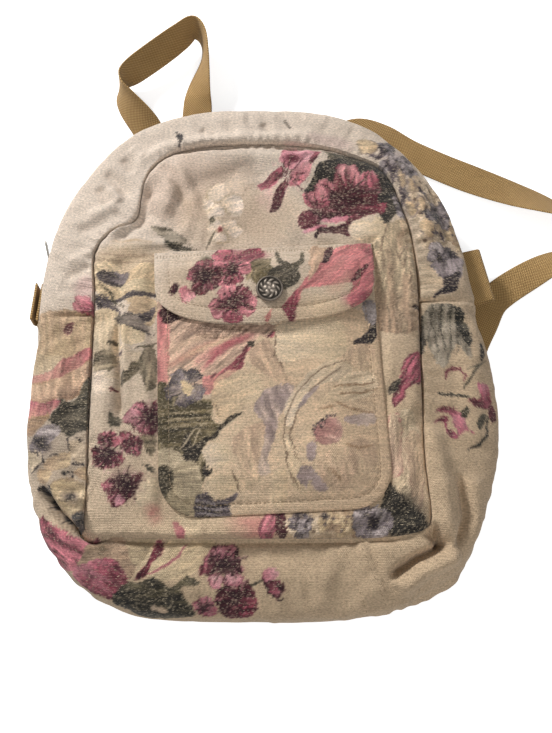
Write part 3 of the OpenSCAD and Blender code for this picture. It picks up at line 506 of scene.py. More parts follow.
FLAP_PRINT = [
    ("wash", -49, 14, 23, 30, 0, "c4ab90", 0.6),
    ("wash", 54, -3, 38, 11, 0, "c2a789", 0.6),
    ("leaf", -6, 33, -35, 31, 17, "6a5d40", "7d6e56"),
    ("leaf", 0, 37, -113, 19, 9, "73664a", "8a7a61"),
    ("petal", -6, 33, 15, 18, 12, "6e6144", "85765e", "", 0.5, 1.0, 0.6),
    ("leaf", 34, 26, -157, 31, 13, "4c4438", "5f5546"),
    ("leaf", 9, 21, 25, 26, 14, "4f473a", "685e50"),
    ("stroke", [(15, 46), (18, 37), (25, 32), (34, 37), (34, 46)], 4.6, "5f5544", 0.9),
    ("stroke", [(1, 7), (10, 10), (19, 18)], 3.8, "4a4234", 0.9),
    ("petal", -20, 40, 138, 14, 17, "964e59", "c17c81", "7e3a47", 0.6, 0.7, 0.9),
    ("petal", -12, 40, 31, 19, 15, "7e3a47", "ab5f68", "6c2e39", 0.6, 0.7, 0.9),
    ("wash", -12, 45, 18, 5, 0, "9d535f", 0.7),
    ("wash", -38, 40, 4, 4, 0, "6e6552", 0.9),
    ("blossom", -18, 30, 14, 80, 5, "rose"),
    ("blossom", -37, 25, 14, 20, 5, "burgundy"),
    ("blossom", -17, 4, 16, 50, 5, "rose"),
    ("petal", -18, 3, 36, 11, 12, "5c2731", "7e3a47", "", 0.6, 0.8, 0.8),
    ("petal", -58, 14, 152, 7, 8, "4b1f28", "702f3b", "", 0.5, 0.7),
    ("petal", -56, 16, -46, 13, 11, "b46c72", "cf9c9a", "8d424f", 0.6, 0.7, 0.7),
    ("rays", -37, 25, 0.55, 11.4, 9, "d6aaa6", 0.5),
    ("rays", -37, 25, 0.1, 11.4, 11, "3b1520", 0.75),
    ("rays", -18, 30, 0.55, 11.4, 9, "d6aaa6", 0.5),
    ("rays", -18, 30, 0.1, 11.4, 11, "3b1520", 0.75),
    ("rays", -17, 4, 0.55, 13.7, 9, "d6aaa6", 0.5),
    ("rays", -17, 4, 0.1, 13.7, 11, "3b1520", 0.75),
    ("field", [(22, 4), (37, 22), (47, 35), (54, 43), (58, 50), (68, 54), (83, 56), (89, 47), (88, 29),
     (85, 7), (74, 0), (67, 7), (72, 21), (53, 17), (35, 14), (31, 4)], "b56d6d", "bd7876", 40, 0.8),
    ("field", [(41, 52), (52, 50), (51, 40), (44, 29), (39, 21), (40, 38)],
     "c2a388", "ba9a82", 250, 0.6),
    ("field", [(51, 40), (52, 49), (56, 52), (58, 48), (53, 38), (49, 35)],
     "441e27", "5c2731", 60, 0.6),
    ("field", [(70, 21), (73, 28), (80, 36), (85, 37), (81, 30), (74, 23)],
     "6c2f3a", "8f4851", 30, 0.6),
    ("smear", [(47, 23), (57, 31), (66, 40)], 7, "c58a82", 0.6),
    ("smear", [(56, 14), (64, 19), (68, 25)], 7, "c2a089", 0.7),
    ("smear", [(79, 19), (82, 28)], 5, "9f535b", 0.6),
    ("smear", [(81, 50), (86, 47)], 4, "87404b", 0.6),
    ("field", [(19, -1), (25, 7), (30, 14), (30, 2), (28, -11), (24, -9)],
     "a5575f", "8d424f", 250, 0.8),
    ("field", [(6, -8), (12, -2), (9, -11)], "b9766e", "bf8c7c", 0, 0.6),
    ("smear", [(69, 7), (78, 12), (83, 9)], 8, "9f535d", 0.7),
    ("smear", [(39, 4), (51, 1), (60, -1)], 12, "c8af90", 0.6),
]
GUSSET_PRINT = [
    # Plain left zip side with its pink patch
    ("petal", -122, -4, 126, 21, 15, "a35d66", "bd7c80", "8f4854", 0.6, 0.8, 0.8),
    ("petal", -123, 3, 137, 18, 8, "974e5b", "b7767a", "", 0.6, 0.9, 0.8),
    ("wash", -130, 22, 8, 9, 0, "bf9a96", 0.5),
    ("stroke", [(-64, 154), (-60, 147), (-61, 139)], 3.0, "4f4849", 0.8),
    ("stroke", [(21, 165), (26, 157)], 2.3, "5a4f46", 0.7),
    ("wash", 57, 144, 18, 6, -15, "b59a92", 0.5),
    # Ruffled petals on the left side
    ("field", [(-171, 4), (-123, 0), (-122, -27), (-131, -29), (-145, -34), (-172, -42), (-180, -28),
     (-165, -15)], "c3aa87", "af947a", 95, 0.9),
    ("field", [(-181, -42), (-180, -28), (-154, -29), (-143, -33), (-155, -42)],
     "cfbb9f", "c1ab8a", 95, 0.6),
    ("field", [(-146, -11), (-139, -5), (-137, -8), (-140, -14)], "57222d", "702f3b", 0, 0.5),
    ("field", [(-181, -43), (-155, -43), (-144, -34), (-131, -29), (-122, -25), (-122, -34),
     (-127, -39), (-137, -43), (-145, -51), (-163, -52), (-182, -50)], "ab5c64", "c58e84", 260, 0.9),
    ("field", [(-182, -50), (-159, -50), (-145, -48), (-137, -43), (-127, -38), (-122, -35),
     (-122, -47), (-128, -53), (-129, -60), (-134, -65), (-143, -64), (-151, -66), (-162, -65),
     (-182, -62)], "b08e77", "c6a78c", 95, 0.9, "917052"),
    ("field", [(-182, -62), (-157, -66), (-145, -65), (-145, -69), (-152, -76), (-159, -79),
     (-172, -77)], "ab5f68", "c08c7c", 260, 0.8),
    ("field", [(-173, -77), (-159, -76), (-153, -74), (-152, -78), (-160, -85), (-168, -91),
     (-182, -87)], "b8987d", "a4815e", 0, 0.7),
    ("field", [(-152, -79), (-144, -69), (-145, -65), (-134, -66), (-129, -61), (-127, -53),
     (-125, -49), (-122, -50), (-122, -70), (-122, -86), (-129, -90), (-135, -93), (-142, -88)],
     "3f3a30", "5d5546", 0, 1.0),
    ("wash", -153, -27, 26, 33, 0, "9c856a", 0.35),
    ("wash", -143, -104, 27, 33, 0, "6f6357", 0.35),
    # Small flowers below them
    ("field", [(-159, -85), (-150, -83), (-143, -87), (-144, -91), (-151, -97), (-154, -102),
     (-160, -103), (-170, -100), (-165, -92)], "857978", "a89b96", 0, 0.9),
    ("field", [(-136, -97), (-129, -96), (-122, -99), (-123, -111), (-130, -112), (-135, -105)],
     "a08d76", "b8a48c", 0, 0.8),
    ("field", [(-171, -103), (-160, -103), (-156, -107), (-157, -112), (-164, -118), (-169, -111)],
     "bca88c", "cfbba1", 0, 0.7),
    ("field", [(-155, -112), (-147, -107), (-139, -104), (-134, -106), (-135, -115), (-144, -118),
     (-152, -117)], "9f876e", "bba483", 0, 0.9),
    ("field", [(-160, -118), (-153, -116), (-147, -119), (-148, -126), (-156, -127)],
     "9a8067", "b89f7e", 0, 0.8),
    ("field", [(-131, -119), (-122, -116), (-121, -127), (-127, -124)], "967d65", "b39a7a", 0, 0.8),
    ("field", [(-147, -131), (-143, -126), (-133, -124), (-126, -127), (-122, -132), (-122, -146),
     (-131, -152), (-139, -146), (-144, -138)], "b29a77", "cfb897", 0, 0.9, "846e59"),
    ("field", [(-158, -130), (-152, -129), (-145, -134), (-146, -142), (-149, -147), (-154, -137)],
     "332c2e", "4c4444", 0, 0.8),
    ("field", [(-143, -148), (-137, -151), (-135, -156), (-141, -155)], "352f31", "504849", 0, 0.7),
    ("field", [(-130, -152), (-122, -150), (-122, -162), (-127, -161)], "423c3c", "6a6460", 0, 0.8),
    ("smear", [(-161, -95), (-154, -99)], 8, "352b31", 0.95),
    ("smear", [(-134, -137), (-130, -138)], 6, "332b2f", 1.0),
    ("strokes", [[(-168, -102), (-156, -107), (-155, -112)], [(-165, -119), (-156, -111)],
     [(-137, -94), (-135, -104)], [(-130, -94), (-125, -98)], [(-133, -113), (-122, -114)],
     [(-149, -106), (-143, -106)], [(-133, -119), (-131, -124)], [(-148, -128), (-144, -132)]],
     1.5, "3c3336", 0.9),
    ("stroke", [(-139, -120), (-135, -120)], 3.5, "2c2728", 0.9),
    # Bottom: rose petals, tulip shape, leaves and blossoms
    ("field", [(-157, -152), (-147, -156), (-135, -163), (-123, -167), (-110, -167), (-119, -186),
     (-149, -193), (-161, -173)], "873e4b", "b9767c", 300, 0.9),
    ("field", [(-152, -156), (-140, -160), (-131, -167), (-116, -174), (-123, -180), (-137, -188),
     (-154, -185)], "8d424f", "b77178", 330, 1.0),
    ("field", [(-123, -180), (-115, -169), (-91, -167), (-84, -185), (-88, -195), (-100, -181),
     (-113, -183), (-127, -187)], "ac9279", "977e68", 0, 0.9),
    ("field", [(-128, -187), (-113, -182), (-102, -181), (-95, -186), (-90, -196), (-98, -210),
     (-109, -209), (-122, -204), (-133, -195)], "b97880", "873e4b", 330, 1.0),
    ("smear", [(-108, -171), (-110, -175)], 6, "6b5944", 0.7),
    ("field", [(-84, -195), (-73, -168), (-64, -168), (-44, -168), (-29, -168), (-31, -176),
     (-41, -190), (-55, -196), (-66, -196), (-75, -194)], "cdb796", "bca584", 20, 0.6),
    ("field", [(-91, -168), (-73, -168), (-77, -179), (-84, -186), (-89, -179)],
     "b39f81", "a59174", 0, 0.7),
    ("field", [(-84, -195), (-78, -185), (-73, -176), (-71, -168), (-66, -168), (-66, -178),
     (-73, -184), (-76, -193), (-82, -196)], "662632", "873e4b", 60, 0.7),
    ("stroke", [(-75, -192), (-64, -187), (-55, -180), (-49, -171)], 1.7, "a35f68", 0.85),
    ("field", [(-98, -204), (-90, -197), (-82, -198), (-75, -195), (-69, -195), (-59, -201),
     (-48, -193), (-39, -200), (-52, -201), (-51, -206), (-44, -217), (-46, -223), (-77, -231),
     (-91, -221), (-103, -214)], "38332a", "5f5642", 0, 1.0),
    ("field", [(-74, -216), (-71, -214), (-62, -219), (-67, -221)], "c3ab94", "b9a187", 0, 0.5),
    ("field", [(-37, -184), (-29, -172), (-22, -171), (-18, -170), (-13, -171), (-11, -179), (-8, -188),
     (-12, -192), (-25, -191), (-33, -191), (-40, -193)], "6c2c37", "c18288", 80, 1.0, "57222d"),
    ("smear", [(-26, -184), (-18, -187)], 12, "39151f", 0.95),
    ("fields", [[(-33, -193), (-25, -191), (-23, -196), (-25, -202), (-31, -201)],
     [(-23, -195), (-17, -191), (-9, -193), (-9, -199), (-15, -201), (-22, -200)]],
     "cda39f", "bc8086", 270, 0.7, "702f3b"),
    ("field", [(-27, -203), (-20, -200), (-14, -202), (-6, -196), (-4, -199), (0, -205), (1, -217),
     (-5, -224), (-21, -224), (-27, -213)], "5e232f", "873e4b", 0, 1.0),
    ("field", [(-44, -214), (-40, -209), (-33, -208), (-29, -212), (-28, -220), (-37, -223)],
     "b9767e", "9f5561", 270, 0.8, "662632"),
    ("smear", [(-15, -208), (-12, -210)], 6, "301921", 0.8),
    ("rays", -22, -185, 0.55, 15.1, 9, "d6aaa6", 0.5),
    ("rays", -22, -185, 0.1, 15.1, 11, "3b1520", 0.75),
    ("rays", -14, -210, 0.55, 13.9, 9, "d6aaa6", 0.5),
    ("rays", -14, -210, 0.1, 13.9, 11, "3b1520", 0.75),
    ("rays", -36, -215, 0.55, 7.5, 9, "d6aaa6", 0.5),
    ("rays", -36, -215, 0.1, 7.5, 11, "3b1520", 0.75),
    ("stroke", [(-4, -200), (5, -197)], 1.8, "4a4436", 0.9),
    ("field", [(5, -192), (10, -188), (16, -190), (15, -195), (10, -199), (6, -198)],
     "b9767e", "c79a98", 0, 0.7, "662632"),
    ("field", [(7, -199), (16, -196), (20, -201), (17, -208), (12, -206)],
     "8d424f", "b9767e", 0, 0.7, "4e1e29"),
    ("field", [(15, -199), (20, -198), (21, -203), (17, -203)], "431f29", "662632", 0, 0.5),
    ("stroke", [(6, -198), (10, -205), (17, -210), (20, -209)], 1.6, "431924", 0.9),
    # Right side: violet and cream florets, striped leaf and small blossoms
    ("wash", 109, 130, 12, 9, -30, "a0908f", 0.6),
    ("cluster", 111, 123, 11, 8, 6, 6.8, "lilac"),
    ("cluster", 101, 138, 6, 5, 4, 5.3, "violet"),
    ("cluster", 130, 96, 12, 17, 9, 7.6, "cream"),
    ("cluster", 142, 84, 9, 15, 6, 6.1, "lilac"),
    ("cluster", 137, 62, 9, 9, 5, 7.6, "cream"),
    ("stroke", [(110, 115), (115, 102), (120, 88)], 2.3, "6a6062", 0.7),
    ("stroke", [(126, 104), (138, 86), (146, 66)], 1.5, "6f6567", 0.6),
    ("dot", 128, 84, 2.3, "453b40", 0.8),
    ("dot", 139, 83, 3.0, "3d343a", 0.8),
    ("cluster", 157, 71, 6, 15, 6, 6.1, "yellow"),
    ("blossom", 140, 47, 12, 30, 5, "lilac"),
    ("blossom", 149, 45, 9, 70, 5, "violet"),
    ("field", [(125, 39), (131, 41), (142, 27), (139, 21), (131, 13), (124, 11)],
     "cdb699", "c3ab8e", 0, 0.5),
    ("field", [(135, 41), (143, 46), (157, 48), (156, 35), (149, 21), (142, 17), (133, 15), (139, 21),
     (143, 28), (137, 33)], "625559", "948785", 100, 0.9),
    ("field", [(142, 31), (149, 34), (155, 37), (151, 22), (143, 18), (133, 15), (140, 21)],
     "2b1d26", "3c2e35", 0, 0.6),
    ("field", [(123, -3), (127, -2), (127, -19), (122, -32)], "463f39", "5d5449", 0, 0.6),
    ("field", [(125, -3), (131, 8), (149, 9), (156, 4), (157, -2), (161, -12), (159, -33), (150, -21),
     (144, -32), (139, -41), (132, -33), (126, -18)], "716859", "a09381", 265, 0.9),
    ("comb", [(128, 7), (129, -11), (133, -29)], [(153, 8), (151, -10), (150, -28)],
     8, 0.9, "b3a492", "454038", 0.7),
    ("field", [(149, 8), (156, 4), (157, -1), (153, -5), (157, -10), (162, -15), (160, -22), (153, -14),
     (150, -3)], "2c2924", "454038", 0, 0.6),
    ("field", [(168, -21), (171, -18), (172, -29), (168, -33)], "352f29", "4a4238"),
    ("stroke", [(140, -49), (141, -43), (145, -40), (151, -41), (155, -46), (154, -49)],
     2.0, "8d424f", 0.95),
    ("stroke", [(134, -60), (145, -61), (157, -62)], 2.4, "403a31", 0.95),
    ("stroke", [(153, -56), (158, -49), (166, -37)], 1.8, "4f483a", 0.85),
    ("stroke", [(156, -41), (166, -37), (173, -33)], 1.5, "665d4e", 0.8),
    ("field", [(164, -52), (172, -51), (176, -63), (173, -70), (166, -66), (165, -59)],
     "b97a82", "8d424f", 280, 0.9),
    ("field", [(157, -64), (166, -64), (173, -65), (175, -70), (165, -71), (159, -68)],
     "7e3642", "ab616c", 0, 0.8),
    ("field", [(175, -65), (180, -77), (175, -81), (172, -72)], "873e4b", "6c2c37", 270, 0.7),
    ("field", [(132, -74), (136, -70), (147, -72), (151, -77), (144, -78), (138, -74)],
     "873e4b", "b9767e", 330, 0.8),
    ("field", [(129, -83), (136, -78), (141, -79), (140, -86), (146, -90), (148, -92), (144, -95),
     (139, -90), (137, -82)], "76323e", "974e5f", 270, 0.8),
    ("field", [(144, -78), (152, -77), (154, -85), (160, -91), (152, -89), (148, -92), (146, -86)],
     "bd8086", "a35d68", 270, 0.7),
    ("field", [(150, -74), (156, -70), (156, -76), (152, -79)], "4a4434", "665d4e", 0, 0.6),
    ("field", [(163, -80), (167, -74), (170, -76), (166, -86), (162, -86)], "4f483a", "665d4e", 0, 0.6),
    ("stroke", [(155, -102), (164, -98), (170, -90), (171, -78)], 2.4, "322f29", 0.95),
    # Small flowers along the arch on the right
    ("fields", [[(78, 145), (89, 146), (95, 139), (89, 132), (80, 135)],
     [(116, 112), (122, 110), (122, 100), (117, 101)], [(124, 98), (130, 93), (128, 84), (123, 87)],
     [(113, 92), (120, 93), (124, 84), (118, 79)], [(126, 77), (136, 73), (134, 61), (126, 64)],
     [(108, 119), (114, 115), (115, 104), (110, 106)]], "cbb392", "bb9f7e", 0, 0.8, "6a5e61"),
    ("strokes", [[(89, 131), (95, 129), (98, 136)], [(99, 126), (105, 119), (106, 110)],
     [(111, 104), (114, 96), (112, 89)], [(128, 82), (132, 77)], [(134, 67), (141, 66), (144, 62)],
     [(125, 104), (129, 100)]], 3.4, "5a4c54", 0.85),
    # Marks on the top gusset
    ("field", [(-64, 150), (-59, 150), (-60, 142), (-62, 143)], "3a3336", "4c4446", 0, 0.6),
]
PRINT = {"front": FRONT_PRINT, "pocket": POCKET_PRINT, "flap": FLAP_PRINT, "gusset": GUSSET_PRINT}

# Folds of each cloth: the line they follow, their width and their height, in millimetres
FRONT_FOLDS = [
    ([(-117, 62), (-106, 69), (-96, 77), (-92, 89), (-90, 100), (-86, 114), (-82, 122)], 3.6, 4.6),
    ([(-113, 55), (-101, 64), (-90, 74), (-85, 89), (-83, 102), (-81, 112)], 4.2, -4.2),
    ([(-83, 119), (-71, 109), (-61, 90)], 4.5, 2.2),
    ([(-76, 124), (-63, 112), (-53, 89)], 3.6, -2.0),
    ([(-66, 126), (-55, 111), (-47, 85)], 4.5, 1.8),
    ([(-82, 95), (-65, 84)], 4.5, 2.0),
    ([(-85, 84), (-68, 72)], 3.6, -1.8),
    ([(-55, 119), (-44, 102), (-38, 82)], 3.6, -1.4),
    ([(-76, 128), (-63, 134), (-45, 137), (-14, 139), (41, 138), (72, 135)], 3.4, -4.0),
    ([(-45, 129), (2, 128), (49, 129)], 5.0, 1.6),
    ([(-13, 121), (-5, 102)], 5.0, 1.3),
    ([(1, 119), (7, 97)], 4.0, -1.2),
    ([(-119, 42), (-96, 46), (-77, 50)], 3.0, 1.0),
    ([(-103, 2), (-102, -35), (-99, -84)], 2.6, -5.4),
    ([(-97, -1), (-96, -35), (-94, -81)], 4.2, 3.0),
    ([(112, 64), (114, 20), (114, -24)], 6.5, 2.2),
    ([(105, 60), (106, 12), (107, -12)], 5.0, -1.4),
    ([(115, -35), (112, -96), (109, -140)], 6.0, 1.4),
    ([(-109, -140), (-106, -160), (-92, -162), (-39, -164), (32, -165), (74, -160)], 7.0, 2.4),
    ([(-111, -1), (-110, -51), (-108, -118)], 5.5, 2.4),
    ([(57, 138), (88, 135), (105, 117), (113, 89)], 5.0, 1.2),
]
POCKET_FOLDS = [
    ([(-61, -39), (-58, -128)], 8.0, 0.9),
    ([(-4, -31), (0, -91)], 12.0, 1.0),
    ([(54, -31), (56, -98)], 9.0, 1.0),
    ([(-46, -140), (3, -149), (53, -143)], 9.0, 1.2),
    ([(-41, -15), (32, -19), (84, -15)], 6.0, -1.0),
    ([(25, -54), (32, -120)], 7.0, -0.7),
]
GUSSET_FOLDS = [
    ([(74, 151), (96, 138), (111, 123), (125, 97), (131, 74), (135, 44)], 6.0, 4.4),
    ([(86, 158), (107, 149), (123, 135), (138, 106), (145, 80), (149, 50)], 4.5, -3.4),
    ([(115, 114), (126, 121)], 2.5, -0.9),
    ([(121, 99), (133, 105)], 2.5, -0.9),
    ([(127, 83), (139, 90)], 2.5, -0.9),
    ([(131, 65), (142, 69)], 2.5, -0.9),
    ([(-157, -129), (-150, -139), (-141, -151), (-130, -160), (-116, -167), (-107, -168)], 3.4, -19.0),
    ([(-149, -117), (-137, -139), (-124, -154), (-112, -165)], 7.5, 7.0),
    ([(-148, -149), (-135, -165), (-111, -174)], 6.0, 3.0),
    ([(127, -80), (133, -118), (136, -147), (137, -176)], 7.5, 7.0),
    ([(147, -117), (153, -150), (144, -176)], 3.6, -8.0),
    ([(158, -117), (162, -146), (155, -174)], 6.0, 2.4),
    ([(124, -156), (125, -161), (136, -175)], 4.2, -15.0),
    ([(99, -206), (120, -190), (150, -177)], 5.5, 7.0),
    ([(92, -196), (115, -181), (140, -171)], 3.4, -12.0),
    ([(112, -221), (133, -202), (159, -192)], 4.5, -2.0),
    ([(113, -222), (140, -210), (156, -196)], 5.5, 2.4),
    ([(-102, 102), (-98, 115), (-89, 129), (-74, 139), (-57, 143), (-14, 148), (33, 149), (65, 146)],
     4.5, 3.4),
    ([(-120, 121), (-108, 109), (-100, 95)], 4.2, -3.4),
    ([(-113, 107), (-104, 93)], 4.5, 3.2),
    ([(-124, 108), (-115, 90)], 4.2, -2.8),
    ([(-132, 82), (-118, 85), (-106, 90)], 4.5, 2.6),
    ([(-139, 69), (-124, 73), (-112, 78)], 4.2, -2.6),
    ([(-106, 132), (-96, 117)], 3.8, -2.6),
    ([(-100, 141), (-87, 131)], 4.2, 2.4),
    ([(-146, 44), (-132, 48), (-122, 54)], 4.5, 2.4),
    ([(-148, 31), (-134, 35), (-124, 41)], 4.2, -2.4),
    ([(-150, 14), (-135, 15)], 4.5, 1.8),
    ([(-45, 157), (-33, 148)], 3.6, -1.8),
    ([(4, 163), (11, 152)], 3.6, -1.8),
    ([(34, 168), (57, 164)], 5.0, 1.0),
    ([(-38, 161), (-6, 170)], 5.0, 0.9),
    ([(-147, -14), (-145, -80)], 8.0, 1.6),
    ([(-133, -11), (-129, -65)], 5.0, -1.0),
    ([(-102, -186), (-53, -199), (-11, -203)], 9.0, 1.8),
    ([(-4, -186), (31, -196), (67, -192)], 8.0, 1.6),
    ([(-81, -177), (-18, -179), (53, -179)], 6.0, -1.2),
    ([(161, -10), (164, -64), (160, -102)], 7.0, 1.8),
    ([(146, -19), (148, -65), (146, -88)], 5.0, -1.2),
]
FOLDS = {"front": FRONT_FOLDS, "pocket": POCKET_FOLDS, "gusset": GUSSET_FOLDS}


def clamp01(t):
    """Limits values to the range from 0 to 1."""
    return np.clip(t, 0.0, 1.0)


def ease(t):
    """A smooth step from 0 to 1."""
    c = clamp01(t)
    return c * c * (3.0 - 2.0 * c)


def mix(p, q, t):
    """A value part of the way from p to q."""
    return p + (q - p) * t


def bulged(r, a, bulges):
    """A radius with soft humps round some angles."""
    for at, spread, height in bulges:
        r = r + height * np.exp(-(((a - at) / spread) ** 2))
    return r


def outline(a, half_w, up, down, power_up, power_down):
    """Radius at an angle of an outline with a half width, and a reach and a power up and down."""
    c, s = np.abs(np.cos(np.radians(a))), np.sin(np.radians(a))
    upper = ((c / half_w) ** power_up + np.abs(s / up) ** power_up) ** (-1.0 / power_up)
    lower = ((c / half_w) ** power_down + np.abs(s / down) ** power_down) ** (-1.0 / power_down)
    return np.where(s >= 0.0, upper, lower)


def wrapped(a):
    """An angle in degrees brought into the range from -90 to 270."""
    return (np.asarray(a, float) + 90.0) % 360.0 - 90.0


def front_r(a):
    """Radius of the front panel's edge at an angle."""
    a = wrapped(a)
    return bulged(outline(a, PANEL_HALF_W, PANEL_TOP, PANEL_BOTTOM, 3.0, 9.0), a, SEAM_BULGES)


def back_r(a):
    """Radius of the back panel's edge at an angle."""
    return outline(wrapped(a), BACK_HALF_W, BACK_TOP, BACK_BOTTOM, 3.0, 7.0)


def side_r(a):
    """Radius of the slumped gusset, the widest line of the bag, at an angle."""
    a = wrapped(a)
    half_w = np.where(np.cos(np.radians(a)) >= 0.0, REACH_RIGHT, REACH_LEFT)
    return bulged(outline(a, half_w, REACH_TOP, REACH_BOTTOM, 2.35, 3.5), a, SIDE_BULGES)


def below_zip(a):
    """Share, from 0 to 1, by which an angle lies past the zip's ends."""
    a = wrapped(a)
    left = ease((a - ZIP_LEFT) / 16.0) * ease((ZIP_RIGHT + 360.0 - a) / 16.0)
    right = ease((ZIP_RIGHT - a) / 16.0)
    return np.where(a > ZIP_LEFT, left, np.where(a < ZIP_RIGHT, right, 0.0))


def bezier(points, t):
    """Points of a cubic curve given by four pairs of radius and height."""
    s = 1.0 - t
    shares = (s**3, 3.0 * t * s * s, 3.0 * t * t * s, t**3)
    r, z = (sum(share * point[k] for share, point in zip(shares, points)) for k in (0, 1))
    return r, z + 0.0 * r


def section(a, kind):
    """Outer line of the gusset at many angles, as radius and height from the front seam to the back."""
    a = np.asarray(a, float)[:, None]
    t = np.linspace(0.0, 1.0, 41)[None, :]
    f, s, b = front_r(a), side_r(a), back_r(a)
    # The upright middle: the zip's circle, and past its ends just inside the widest line
    m = mix(ZIP_R, s - 1.0, below_zip(a)) + CLOTH_T / 2.0
    front = bezier(((f, SEAM_Z), (f + 0.35 * (s - f), SEAM_Z + GUSSET_PUFF),
                    (s + 1.5 * (s - m), TAPE_TOP + 10.0), (m, TAPE_TOP)), t)
    side = (m + 4.0 * t * (1.0 - t) * below_zip(a), mix(TAPE_TOP, TAPE_BOTTOM, t) + 0.0 * m)
    rear = bezier(((m, TAPE_BOTTOM), (m - 1.0, TAPE_BOTTOM - 7.0),
                   (mix(b, m, 0.5), BACK_T + 0.4), (b, BACK_T)), t)
    if kind == "front":
        return front
    if kind == "rear":
        return rear
    return tuple(np.concatenate([front[k], side[k][:, 1:], rear[k][:, 1:]], axis=1) for k in (0, 1))


def panel_z(x, y):
    """Height of the front panel's outer face over a point of its plan."""
    k = np.hypot(x, y) / front_r(np.degrees(np.arctan2(y, x)))
    return SEAM_Z + CROWN * (1.0 - np.minimum(k, 1.0) ** 6)


def on_panel(x, y):
    """A point of the pocket's own plan, turned into place on the front panel."""
    c, s = math.cos(POCKET_TILT), math.sin(POCKET_TILT)
    return POCKET_AT[0] + x * c - y * s, POCKET_AT[1] + x * s + y * c


def pocket_half(y):
    """Half the pocket's width at a height of its plan."""
    flared = POCKET_W / 2.0 + POCKET_FLARE * (POCKET_MOUTH - y) / (POCKET_MOUTH + POCKET_DROP)
    inside = clamp01((POCKET_CORNER - POCKET_DROP - y) / POCKET_CORNER)
    return flared - POCKET_CORNER * (1.0 - np.sqrt(1.0 - inside * inside))


def pocket_room(x, y):
    """Room between the panel and the pocket's cloth."""
    across = 1.0 - np.minimum(1.0, np.abs(x) / pocket_half(y)) ** 4
    return POCKET_PUFF * across * (1.0 - clamp01((POCKET_CLOSE - POCKET_DROP - y) / POCKET_CLOSE) ** 3)


def flap_half(y):
    """Half the flap's width at a height of its plan."""
    down = clamp01((FLAP_SHOULDER - y) / (FLAP_SHOULDER + FLAP_DROP))
    return FLAP_W / 2.0 * (1.0 - down**FLAP_POWER) ** (1.0 / FLAP_POWER)


def flap_lift(x, y):
    """Height of the flap's underside over the panel."""
    over = ease((FLAP_RISE - 1.0 - y) / (FLAP_RISE - 1.0 - POCKET_MOUTH))
    room = POCKET_PUFF * (1.0 - np.minimum(1.0, np.abs(x) / (FLAP_W / 2.0 + 0.5)) ** 4)
    snap = SNAP_RISE * np.exp(-((np.hypot(x - SNAP_X, y) / 24.0) ** 4))
    return LAY_GAP + over * (room + POCKET_T + 1.5 * LAY_GAP + snap)


def hashed(i, j, seed):
    """A repeatable scattered value from 0 to 1 for whole-number places."""
    n = i.astype(np.int64) * 374761393 + j.astype(np.int64) * 668265263 + int(seed) * 974711
    n = ((n ^ (n >> 13)) * 1274126177) & 0x7FFFFFFF
    return ((n ^ (n >> 15)) & 0xFFFF) / 65535.0


def chance(i, j, seed):
    """One scattered value from 0 to 1."""
    return float(hashed(np.array([i]), np.array([j]), seed)[0])


def cloudy(x, y, seed):
    """Smooth noise from -1 to 1 with one hump per unit."""
    i, j = np.floor(x), np.floor(y)
    u, v = x - i, y - j
    u, v = u * u * (3.0 - 2.0 * u), v * v * (3.0 - 2.0 * v)
    low = mix(hashed(i, j, seed), hashed(i + 1, j, seed), u)
    high = mix(hashed(i, j + 1, seed), hashed(i + 1, j + 1, seed), u)
    return 2.0 * mix(low, high, v) - 1.0


def mottled(x, y, size, seed, steps=3):
    """Noise of several sizes laid over each other, the largest about size millimetres."""
    total, share = 0.0, 0.5
    for k in range(steps):
        total = total + share * cloudy(x / size, y / size, seed + 17 * k)
        size, share = size / 2.1, share / 2.0
    return total


def shade(code):
    """Red, green and blue from 0 to 1 of a colour written as six hex digits."""
    return np.array([int(code[k : k + 2], 16) / 255.0 for k in (0, 2, 4)])


def linear(rgb):
    """Display colours turned into the linear values that shaders use."""
    return np.where(rgb <= 0.04045, rgb / 12.92, ((rgb + 0.055) / 1.055) ** 2.4)


def shown(value):
    """A property's linear colour as the display colour that the print is painted in."""
    v = np.array(value[:3])
    return np.where(v <= 0.0031308, v * 12.92, 1.055 * v ** (1.0 / 2.4) - 0.055)


def spline(a, b, c, d, t):
    """A place between b and c on the smooth curve through four places."""
    bend = (2.0 * a - 5.0 * b + 4.0 * c - d) * t * t
    return 0.5 * (2.0 * b + (c - a) * t + bend + (3.0 * b - a - 3.0 * c + d) * t**3)


def rounded(path):
    """A closed outline through points, with its corners softened."""
    p = np.array(path, float)
    a, c, d = (np.roll(p, k, axis=0) for k in (1, -1, -2))
    return np.stack([spline(a, p, c, d, t) for t in (0.0, 0.34, 0.67)], axis=1).reshape(-1, 2)


def heading(turn):
    """Cosine and sine of an angle in degrees."""
    return math.cos(math.radians(turn)), math.sin(math.radians(turn))


def inside_reach(x, y, loop):
    """Distance of points from a closed outline, positive inside it."""
    best = np.full(x.shape, 1e9)
    within = np.zeros(x.shape, bool)
    for (x0, y0), (x1, y1) in zip(loop, np.roll(loop, -1, axis=0)):
        t = clamp01(((x - x0) * (x1 - x0) + (y - y0) * (y1 - y0)) / ((x1 - x0) ** 2 + (y1 - y0) ** 2 + 1e-9))
        best = np.minimum(best, np.hypot(x - x0 - t * (x1 - x0), y - y0 - t * (y1 - y0)))
        if y0 != y1:
            within ^= ((y0 > y) != (y1 > y)) & (x < x0 + (x1 - x0) * (y - y0) / (y1 - y0))
    return np.where(within, best, -best)


